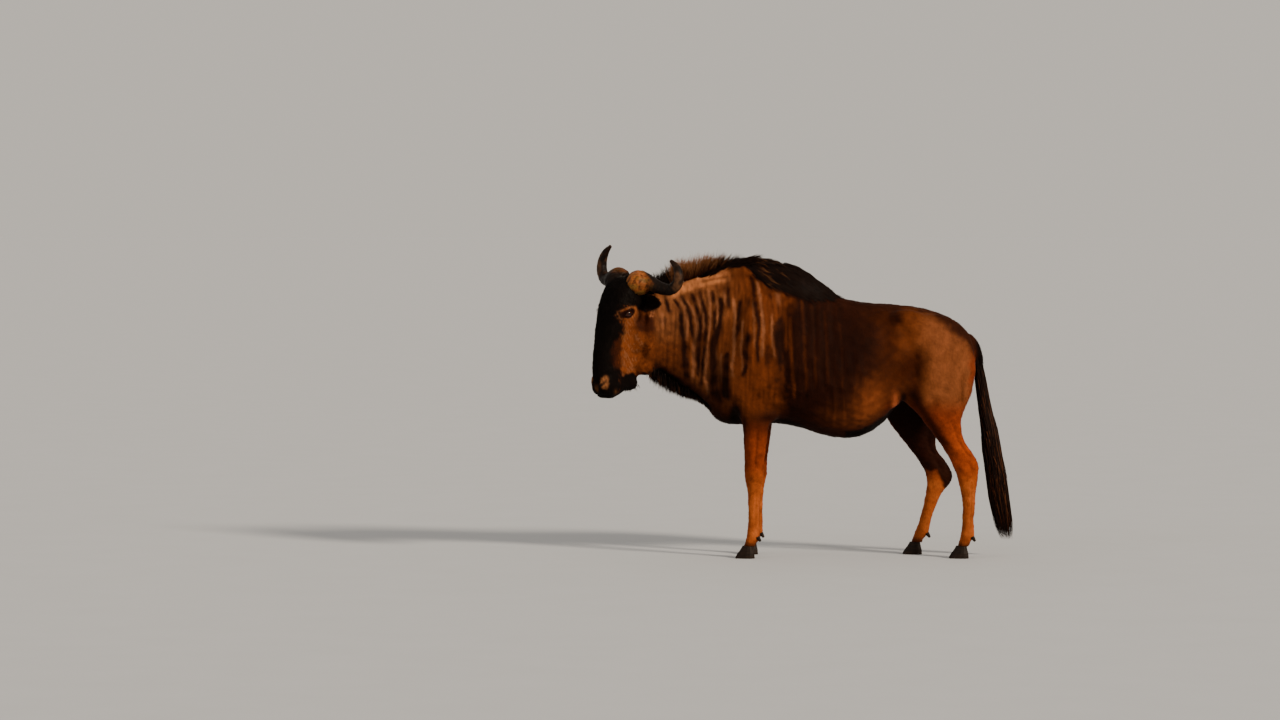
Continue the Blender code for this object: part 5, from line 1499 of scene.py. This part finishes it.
def build_mane(surface, tree):
    """Spiky mane of the neck, and the long black one that lies over both sides of the withers."""
    pieces = []
    number = 3600
    roots = crest_roots(number, -0.660, -0.310, lambda x: 0.006 + 0.004 * ease(-0.52, -0.62, x))
    x = roots[:, 0]
    top = np.interp(x, (-0.66, -0.62, -0.58, -0.545, -0.51, -0.46, -0.40, -0.35, -0.31),
                    (1.292, 1.312, 1.336, 1.362, 1.392, 1.400, 1.412, 1.408, 1.398))
    wisp = RNG.random(number) < 0.45
    forward = roots * (1, 0, 0)
    ragged = 0.84 + 0.16 * ripple(forward, 0.030, 81) + 0.12 * ripple(forward, 0.010, 82)
    share = np.where(wisp, RNG.uniform(0.85, 1.06, number), RNG.uniform(0.40, 0.85, number))
    lengths = (top - roots[:, 2]) * np.clip(ragged, 0.5, 1.0) * share + 0.008
    fan = np.interp(x, (-0.62, -0.52, -0.45, -0.38, -0.31), (-0.20, -0.10, 0.14, 0.55, 1.10))
    lengths *= np.hypot(1, fan)
    lean = np.stack([fan + RNG.normal(0, 0.22, number), 5.0 * (roots[:, 1] - crest_side(x))
                     + RNG.normal(0, 0.08, number), np.ones(number)], -1)
    dark = np.maximum(ease(-0.42, -0.34, x + 0.03 * RNG.normal(size=number)), ease(-0.53, -0.56, x))
    base = mix(np.array((0.030, 0.0090, 0.0028)), BLACK_HAIR_AND_SHADOW, dark)
    tips = mix(np.array((0.220, 0.083, 0.0300)), (0.0062, 0.0026, 0.0016), dark)
    thick = np.where(wisp, 0.0011, 0.0013)
    pieces.append(grow_locks("mane_neck", roots, lean, lengths, 0.12, thick, base,
                             tips, steps=6, wave=0.30, clump=0.55))
    number = 1300
    roots = crest_roots(number, -0.420, -0.200, lambda x: 0.010 + 0 * x)
    top = np.interp(roots[:, 0], (-0.42, -0.33, -0.20), (0.085, 0.110, 0.100))
    lengths = top * RNG.uniform(0.6, 1.05, number)
    lean = np.stack([RNG.normal(1.0, 0.10, number), 6.0 * roots[:, 1] + RNG.normal(0, 0.10, number),
                     RNG.uniform(0.45, 1.05, number)], -1)
    pieces.append(grow_locks("mane_dark", roots, lean, lengths, 0.55, 0.0017, BLACK_HAIR_AND_SHADOW,
                             (0.011, 0.0042, 0.0022), tree, steps=7, wave=0.15, clump=0.4))
    number = 4300
    roots, normals = spread_roots(surface, mane_weight(surface[0]), number)
    order = np.argsort(roots[:, 0] + 0.05 * np.sign(roots[:, 1]))
    roots, normals = roots[order], normals[order]
    reach = np.interp(roots[:, 0], (-0.40, -0.22, -0.12, -0.02, 0.08, 0.20),
                      (0.060, 0.075, 0.105, 0.105, 0.080, 0.045))
    lengths = reach * RNG.uniform(0.55, 1.10, number)
    across = 0.78 * (roots[:, 0] + 0.150) + 0.627 * (roots[:, 2] - 1.328)
    near = np.where(np.abs(across) < 0.007, 0.55, 0.10) * (np.abs(across - 0.03) < 0.045)
    pale = (RNG.random(number) < near) * (roots[:, 0] < -0.05) * (roots[:, 0] > -0.19)
    tips = mix(np.array((0.0085, 0.0030, 0.0014)), (0.170, 0.062, 0.021), pale)
    bases = mix(np.array(BLACK_HAIR_AND_SHADOW), (0.030, 0.0105, 0.0040), pale)
    pieces.append(lay_locks("mane_withers", roots, normals, MANE_FLOW, lengths,
                            np.where(pale > 0, 0.0011, 0.0019), bases, tips, tree,
                            RNG.uniform(0.002, 0.009, number), steps=7, clump=0.30))
    return pieces


def build_beard():
    """Black fringe under the throat and the black tuft of the chin."""
    pieces = []
    number = 1900
    x = np.sort(RNG.uniform(-0.655, -0.36, number))
    y = np.interp(x, (-0.672, -0.64, -0.585, -0.51, -0.435, -0.36),
                  (-0.085, -0.070, -0.046, -0.020, -0.006, 0.0)) + RNG.normal(0, 0.016, number)
    z = np.interp(x, BELLY_X, BELLY_Z) + 0.012
    roots = np.stack([x, y, z], -1)
    tip = np.interp(x, (-0.668, -0.640, -0.585, -0.510, -0.435, -0.370),
                    (0.862, 0.805, 0.768, 0.735, 0.718, 0.690))
    lengths = np.maximum(z - tip, 0.02) * RNG.uniform(0.55, 1.06, number) + 0.008
    lean = np.stack([RNG.normal(0.10, 0.14, number), RNG.normal(0, 0.16, number), -np.ones(number)], -1)
    tips = mix(np.array((0.0095, 0.0036, 0.0020)), (0.075, 0.027, 0.010),
               RNG.random(number) < 0.10)
    pieces.append(grow_locks("beard", roots, lean, lengths, 0.3, 0.0020, BLACK_HAIR_AND_SHADOW, tips, steps=7,
                             wave=0.22, clump=0.5))
    number = 620
    u, v = RNG.uniform(-0.178, -0.082, number), RNG.normal(0, 0.024, number)
    w = np.interp(u, (-0.18, -0.144, -0.10, -0.08), (0.795, 0.778, 0.776, 0.782)) + 0.010
    roots = head_point(u, v, w)
    lean = np.stack([RNG.normal(-0.20, 0.25, number), 12 * v + RNG.normal(0, 0.2, number),
                     -np.ones(number)], -1)
    lengths = RNG.uniform(0.012, 0.027, number)
    pieces.append(grow_locks("chin_tuft", roots, lean @ HEAD_AXES, lengths, 0.5,
                             0.0013, FACE_BLACK, (0.0060, 0.0032, 0.0024), steps=5, wave=0.2,
                             clump=0.4, unwrap=head_unwrap))
    return pieces


# Rows of (height, middle, half depth, half width) of the tassel, from the ground up.
TASSEL = np.array((
    (1.000, 0.846, 0.022, 0.024), (0.950, 0.864, 0.022, 0.024), (0.900, 0.871, 0.021, 0.023),
    (0.800, 0.881, 0.025, 0.026), (0.690, 0.898, 0.029, 0.030), (0.590, 0.920, 0.038, 0.036),
    (0.480, 0.934, 0.045, 0.042), (0.370, 0.953, 0.049, 0.046), (0.270, 0.966, 0.048, 0.045),
    (0.160, 0.985, 0.043, 0.038), (0.100, 0.996, 0.036, 0.030), (0.070, 1.001, 0.026, 0.020)))[::-1]


def build_tassel():
    """Long black hair of the tail: each strand runs at its own place in the tassel's round section."""
    number, steps = 2400, 11
    top = RNG.uniform(0.56, 0.985, number)
    bottom = 0.074 + 0.40 * RNG.random(number) ** 1.55
    bottom = np.minimum(bottom, top - 0.12)
    t = np.linspace(0, 1, steps)
    z = top[:, None] + (bottom - top)[:, None] * t
    angle = RNG.uniform(0, 2 * math.pi, number)[:, None]
    angle = angle + 0.5 * np.sin(3 * t + RNG.random((number, 1)) * 6)
    share = np.sqrt(RNG.uniform(0.15, 1.0, number))[:, None] * (0.30 + 0.66 * ease(0.0, 0.22, t))
    deep, wide, middle = (np.interp(z, TASSEL[:, 0], TASSEL[:, column]) for column in (2, 3, 1))
    spine = np.stack([middle + deep * share * np.cos(angle), wide * share * np.sin(angle), z], -1)
    spine += 0.003 * np.stack([np.sin(9 * t + angle), np.cos(7 * t + 2 * angle), 0 * angle + 0 * t], -1)
    tangent = unit(np.gradient(spine, axis=1))
    outward = unit(np.stack([np.cos(angle), np.sin(angle), 0 * angle], -1))
    side = unit(np.cross(tangent, outward))
    taper = (1 - t ** 3.2) * (0.8 + 0.4 * np.sin(math.pi * t)) + 0.02
    size = 0.0024 * RNG.uniform(0.7, 1.3, (number, 1)) * taper
    shade = RNG.uniform(0.7, 1.4, (number, 1, 1))
    rusty = mix(np.array((0.0075, 0.0028, 0.0016)), (0.050, 0.0150, 0.0048),
                RNG.random(number) < 0.08)
    colours = rusty[:, None] * shade * np.linspace(0.8, 1.35, steps)[None, :, None]
    raw = np.stack([angle[:, 0], z[:, 0]], -1)
    up = np.cross(side, tangent) * (0.7 * size)[..., None]
    return strand_mesh("tail_tassel_hair", spine, side * size[..., None], up, colours, spread_out(raw),
                       HAIR_LOOK)


def build_face_hair(surface):
    """Longer black hair down the front of the face, over the brow, round the horns and in the ears."""
    points = surface[0]
    u, v, w = to_head(points).T
    head = head_weight(points)
    ridge = head * ease(-0.050, -0.020, u) * ease(0.82, 0.90, w) * ease(0.062, 0.045, np.abs(v))
    poll = head * ease(1.165, 1.20, w) * (1 - ear_weight(points))
    pieces = []
    for name, weight, number, length, thick in (("hair_face", ridge, 5600, 0.0150, 0.00080),
                                                ("hair_poll", poll, 3600, 0.0210, 0.00100)):
        roots, normals = spread_roots(surface, weight, number)
        local = np.tile(np.array((-0.15, 0.0, -1.0)), (number, 1)) @ HEAD_AXES
        ways = on_surface(local, normals) + normals * RNG.uniform(0.08, 0.32, number)[:, None]
        ways += RNG.normal(0, 0.10, (number, 3))
        lengths = length * RNG.uniform(0.6, 1.2, number)
        pieces.append(grow_locks(name, roots, ways, lengths, 0.5, thick, coat_colour(roots),
                                 coat_colour(roots) * 1.5, steps=4, wave=0.12, clump=0.25,
                                 unwrap=head_unwrap, lit=normals))
    roots, normals = spread_roots(surface, ear_weight(points), 1100)
    ways = lie_of(roots, normals) + normals * 0.35 + RNG.normal(0, 0.15, roots.shape)
    lengths = RNG.uniform(0.010, 0.022, len(roots))
    pieces.append(grow_locks("hair_ears", roots, ways, lengths, 0.5, 0.0009,
                             coat_colour(roots), coat_colour(roots) * 1.3, steps=4, wave=0.2,
                             clump=0.3, unwrap=head_unwrap))
    roots, normals, lengths = lash_roots()
    pieces.append(grow_locks("lashes", roots, normals, lengths, 0.9, 0.00035, FACE_BLACK, FACE_BLACK,
                             steps=5, wave=0.05, unwrap=head_unwrap))
    return pieces


def lash_roots():
    """Roots, directions and lengths of the lashes on both upper lids."""
    roots, ways, lengths = [], [], []
    for side in (1, -1):
        centre, out, along, up = eye_frame(side)
        for turn in np.linspace(0.35, math.pi - 0.25, 46):
            x, y = LID_LENGTH * math.cos(turn), LID_UPPER * 1.05 * math.sin(turn)
            way = unit(out * math.sqrt(EYE_RADIUS ** 2 - x * x - y * y) + along * x + up * y)
            roots.append(centre + way * (EYE_RADIUS + LID_THICKNESS * 1.4))
            ways.append(out + 0.35 * up + 0.3 * along * math.cos(turn))
            lengths.append(0.009 + 0.003 * RNG.random())
    return np.array(roots), unit(np.array(ways)), np.array(lengths)


# ---------------------------------------------------------------- horns, hooves and eyes


def horn_spine(side):
    rows = spline(HORN_LINE, HORN_STEPS)
    v, w, u, radius = rows.T
    t = np.linspace(0, 1, len(rows))
    return head_point(u, side * v, w - side * HORN_SIDE_LIFT * t), radius


def build_horn(side, name):
    """Smooth curved horn with rings near its base, growing from a rough, swollen boss."""
    spine, radius = horn_spine(side)
    inside = np.linalg.norm(spine - spine[0], axis=1)
    end = np.clip(inside / 0.014, 0.10, 1)
    radius = radius * np.sqrt(1 - (1 - end) ** 2)
    tangent = unit(np.gradient(spine, axis=0))
    across = unit(np.cross(tangent, HEAD_AXES[0]))
    above = np.cross(across, tangent)
    turns = np.linspace(0, 2 * math.pi, 33)[:-1]
    rings = spine[:, None] + radius[:, None, None] * (across[:, None] * np.cos(turns)[:, None]
                                                      + above[:, None] * np.sin(turns)[:, None])
    points, groups = ring_tube(rings)
    horn = mesh_object(name, points, groups)
    turn_outward(horn)
    axes = Matrix(HEAD_AXES.T.tolist()).to_4x4()
    centre = head_point(BOSS_PLACE[2], side * BOSS_PLACE[0], BOSS_PLACE[1]) + SHIFT
    radii = (BOSS_SIZE[1], BOSS_SIZE[0], BOSS_SIZE[2], 1.0)
    place = Matrix.Translation(centre) @ axes @ Matrix.Diagonal(radii)
    with editing(horn.data) as work:
        bmesh.ops.create_icosphere(work, subdivisions=4, radius=1.0, matrix=place)
    voxel_remesh(horn, HORN_VOXEL)
    smooth_mesh(horn, 6)
    points, normals = points_of(horn), normals_of(horn)
    gap = np.linalg.norm(points[:, None, :] - spine[None, ::3], axis=2)
    along = gap.argmin(axis=1) / (gap.shape[1] - 1)
    boss = 1 - ease(0.16, 0.36, along)
    local = to_head(points)
    pits = limit(ripple(points, 0.018, 51)) + 0.6 * limit(ripple(points, 0.009, 52))
    ridges = np.sin(along * 95 + 1.5 * ripple(points, 0.05, 53))
    ridges = ridges * ease(0.26, 0.34, along) * ease(0.74, 0.55, along)
    rise = -0.0016 * pits * boss + 0.0007 * ridges + 0.0004 * ripple(points, 0.012, 54)
    set_points(horn, points + normals * rise[:, None])
    outward = np.abs(local[:, 1]) - local[:, 0]
    crown = ease(0.012, -0.016, outward - 0.241 + 1.36 * (local[:, 2] - 1.3226))
    tan = ease(-0.200, -0.140, local[:, 0]) * boss * (0.96 - 0.55 * pits)
    if side > 0:
        tan *= crown
    else:
        # painted shade: the far boss keeps its tan only on top, and its front is darkened as if turned
        # from the light
        tan *= 0.42 * ease(1.300, 1.326, local[:, 2])
    colour = np.tile(np.array((0.0050, 0.0023, 0.0014)), (len(points), 1))
    hue = ease(-0.5, 0.6, ripple(points, 0.05, 56))[:, None]
    tan_colour = hue * (0.175, 0.074, 0.0150) + (1 - hue) * (0.230, 0.066, 0.0140)
    colour = mix(colour, tan_colour, limit(tan))
    # painted highlight: a paler band round the middle of the horn
    pale = ease(0.48, 0.62, along) * ease(0.93, 0.80, along)
    pale = pale * limit(0.5 + ripple(points, 0.04, 55))
    colour = mix(colour, (0.105, 0.045, 0.0190), pale * 0.52)
    colour = mix(colour, (0.0150, 0.0058, 0.0032), ease(0.86, 0.97, along))
    colour *= (1 + 0.22 * ridges)[:, None]
    paint(horn, colour)
    return dress(horn, HORN_LOOK)


def build_hoof(node):
    """One claw of a hoof: a fine surface with growth rings, its sole flat on the ground."""
    hoof = copy_nodes([node], node + "_wall")
    voxel_remesh(hoof, HOOF_VOXEL)
    smooth_mesh(hoof, 9)
    points, normals = points_of(hoof), normals_of(hoof)
    z = points[:, 2]
    wall = ease(0.004, 0.010, z) * ease(0.9, 0.6, np.abs(normals[:, 2]))
    rings = np.sin(z / HOOF_RING_PITCH * 2 * math.pi + 1.2 * ripple(points, 0.04, 61))
    points += normals * (0.00045 * rings * wall + 0.0003 * ripple(points, 0.012, 62) * wall)[:, None]
    top = ease(0.016, 0.056, z)
    middle = points[z > 0.046].mean(axis=0)
    points[:, 0] += CORONET_DRAW[0] * top * (middle[0] - points[:, 0])
    points[:, 1] += CORONET_DRAW[1] * top * (math.copysign(FOOT_Y, middle[1]) - points[:, 1])
    points[:, 2] += 0.004 * ease(0.030, 0.052, z)
    points[:, 2] = np.where(points[:, 2] < 0.0016, 0.0, points[:, 2])
    set_points(hoof, points)
    return dress(hoof, HOOF_LOOK)


def build_dew_claw(node):
    """A dew claw, lengthened inwards so that it grows out of the skin."""
    claw = copy_nodes([node], node + "_horn")
    voxel_remesh(claw, DEW_CLAW_VOXEL)
    smooth_mesh(claw, 22)
    points = points_of(claw)
    centre = points.mean(axis=0)
    leg_y = math.copysign(FOOT_Y, centre[1])
    inward = unit(np.array((-1.0, 0.35 * (leg_y - centre[1]) / 0.017, 0.25)))
    depth = (points - centre) @ inward
    points += inward * (0.006 * ease(-0.004, 0.012, depth))[:, None]
    set_points(claw, points)
    return dress(claw, HOOF_LOOK)


def build_eye(side, name):
    """Eyeball with a bulging cornea: dark brown iris, a level oblong pupil and a dark rim."""
    centre, out, along, up = eye_frame(side)
    eye = mesh_object(name, *ball(96, 64))
    points = points_of(eye) @ np.stack([along, up, out])
    way = unit(points)
    x, y = way @ along, way @ up
    facing = way @ out
    radius = EYE_RADIUS + 0.0009 * ease(0.78, 0.90, facing)
    set_points(eye, centre + way * radius[:, None])
    level = unit(np.array((-1.0, 0.0, 0.12)) @ HEAD_AXES)
    level = unit(level - out * (level @ out))
    across, high = way @ level, way @ np.cross(out, level)
    pupil = ease(1.15, 0.90, np.hypot(across / 0.36, high / 0.17)) * (facing > 0)
    iris = ease(0.84, 0.79, np.hypot(x, y)) * (facing > 0)
    streak = ripple(np.stack([np.arctan2(high, across) * 3, 0 * x, 0 * x], -1), 0.35, 71)
    colour = np.tile(np.array((0.012, 0.0045, 0.003)), (len(way), 1))
    colour = mix(colour, np.array((0.026, 0.0062, 0.0020)), iris)
    colour *= (1 + 0.30 * streak * iris)[:, None]
    colour = mix(colour, (0.006, 0.003, 0.002), ease(0.62, 0.78, np.hypot(x, y)) * iris)
    colour = mix(colour, (0.002, 0.002, 0.003), pupil)
    paint(eye, colour)
    return dress(eye, EYE_LOOK)


def ball(turns, rows):
    """Points and faces of a unit ball, its poles on z."""
    angle = np.linspace(0, math.pi, rows + 1)[1:-1]
    around = np.linspace(0, 2 * math.pi, turns + 1)[:-1]
    rings = np.stack([np.sin(angle)[:, None] * np.cos(around), np.sin(angle)[:, None] * np.sin(around),
                      np.cos(angle)[:, None] + 0 * around], -1)
    points, groups = ring_tube(rings)
    points[-2], points[-1] = (0, 0, 1), (0, 0, -1)
    return points, groups


# ---------------------------------------------------------------- studio


def add_sun(name, way, power, colour, softness):
    """Even soft light that comes from the given direction."""
    lamp = bpy.data.lights.new(name, "SUN")
    lamp.energy = power
    lamp.color = colour
    lamp.angle = math.radians(softness)
    new_object(name, lamp).rotation_euler = Vector(way).to_track_quat("Z", "Y").to_euler()


FLOOR_RADIUS = 300
FLOOR_SIDES = 64


def build_studio():
    turns = np.linspace(0, 2 * math.pi, FLOOR_SIDES + 1)[:-1]
    rim = [(FLOOR_RADIUS * math.cos(a), FLOOR_RADIUS * math.sin(a), 0.0) for a in turns]
    mesh = bpy.data.meshes.new("floor")
    mesh.from_pydata(rim, [], [tuple(range(FLOOR_SIDES))])
    mesh.materials.append(floor_material())
    floor = new_object("floor", mesh)
    world = bpy.data.worlds.new("studio")
    world.use_nodes = True
    backdrop = world.node_tree.nodes["Background"].inputs
    backdrop["Color"].default_value = (0.74, 0.68, 0.60, 1)
    backdrop["Strength"].default_value = 0.86
    bpy.context.scene.world = world
    add_sun("key", (0.66, -0.60, 0.45), 4.7, (1.0, 0.86, 0.68), 9)
    add_sun("fill", (-0.75, -0.55, 0.36), 0.3, (1.0, 1.0, 1.0), 30)


SENSOR_WIDTH = 36.0
FOCAL_PIXELS = 4340
FRAME_WIDTH = 1280
CAMERA_PLACE = np.array((-0.691, -20.0, 1.57))
CAMERA_TILT = math.radians(1.903)


def build_camera():
    camera = bpy.data.cameras.new("camera")
    camera.sensor_width = SENSOR_WIDTH
    camera.lens = SENSOR_WIDTH * FOCAL_PIXELS / FRAME_WIDTH
    camera.clip_end = 400.0
    thing = new_object("camera", camera)
    thing.location = CAMERA_PLACE + SHIFT
    thing.rotation_euler = (math.pi / 2 - CAMERA_TILT, 0.0, 0.0)
    bpy.context.scene.camera = thing


# ---------------------------------------------------------------- the whole animal


def hand_over(piece, slot, *nodes):
    """A finished piece rides on the body and stands for CAD nodes, which it hides; slot is not used."""
    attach(piece, "root")
    if nodes:
        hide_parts(*nodes)


build_camera()
build_studio()
skin = build_skin()
surface = surface_of(skin)
tree = BVHTree.FromPolygons([tuple(p) for p in points_of(skin) + SHIFT], surface[2].tolist())
hand_over(skin, "coat", *FLESH_NODES, "ear_left", "ear_right")
for piece in build_coat(skin):
    hand_over(piece, "coat")
mane, mane_dark, mane_withers = build_mane(surface, tree)
hand_over(mane, "long_hair", "mane")
hand_over(mane_dark, "long_hair")
hand_over(mane_withers, "long_hair")
beard, chin_tuft = build_beard()
hand_over(beard, "long_hair", "beard")
hand_over(chin_tuft, "long_hair")
hand_over(build_tassel(), "long_hair", "tail_tassel")
for piece in build_face_hair(surface):
    hand_over(piece, "long_hair")
for side, word in ((1, "left"), (-1, "right")):
    hand_over(build_horn(side, "horn_" + word + "_sheath"), "horn", "horn_" + word)
    hand_over(build_eye(side, "eye_" + word + "_ball"), "eye", "eye_" + word)
for node in sorted(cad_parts):
    if node.startswith("hoof_"):
        hand_over(build_hoof(node), "hoof", node)
    elif node.startswith("dew_claw_"):
        hand_over(build_dew_claw(node), "hoof", node)
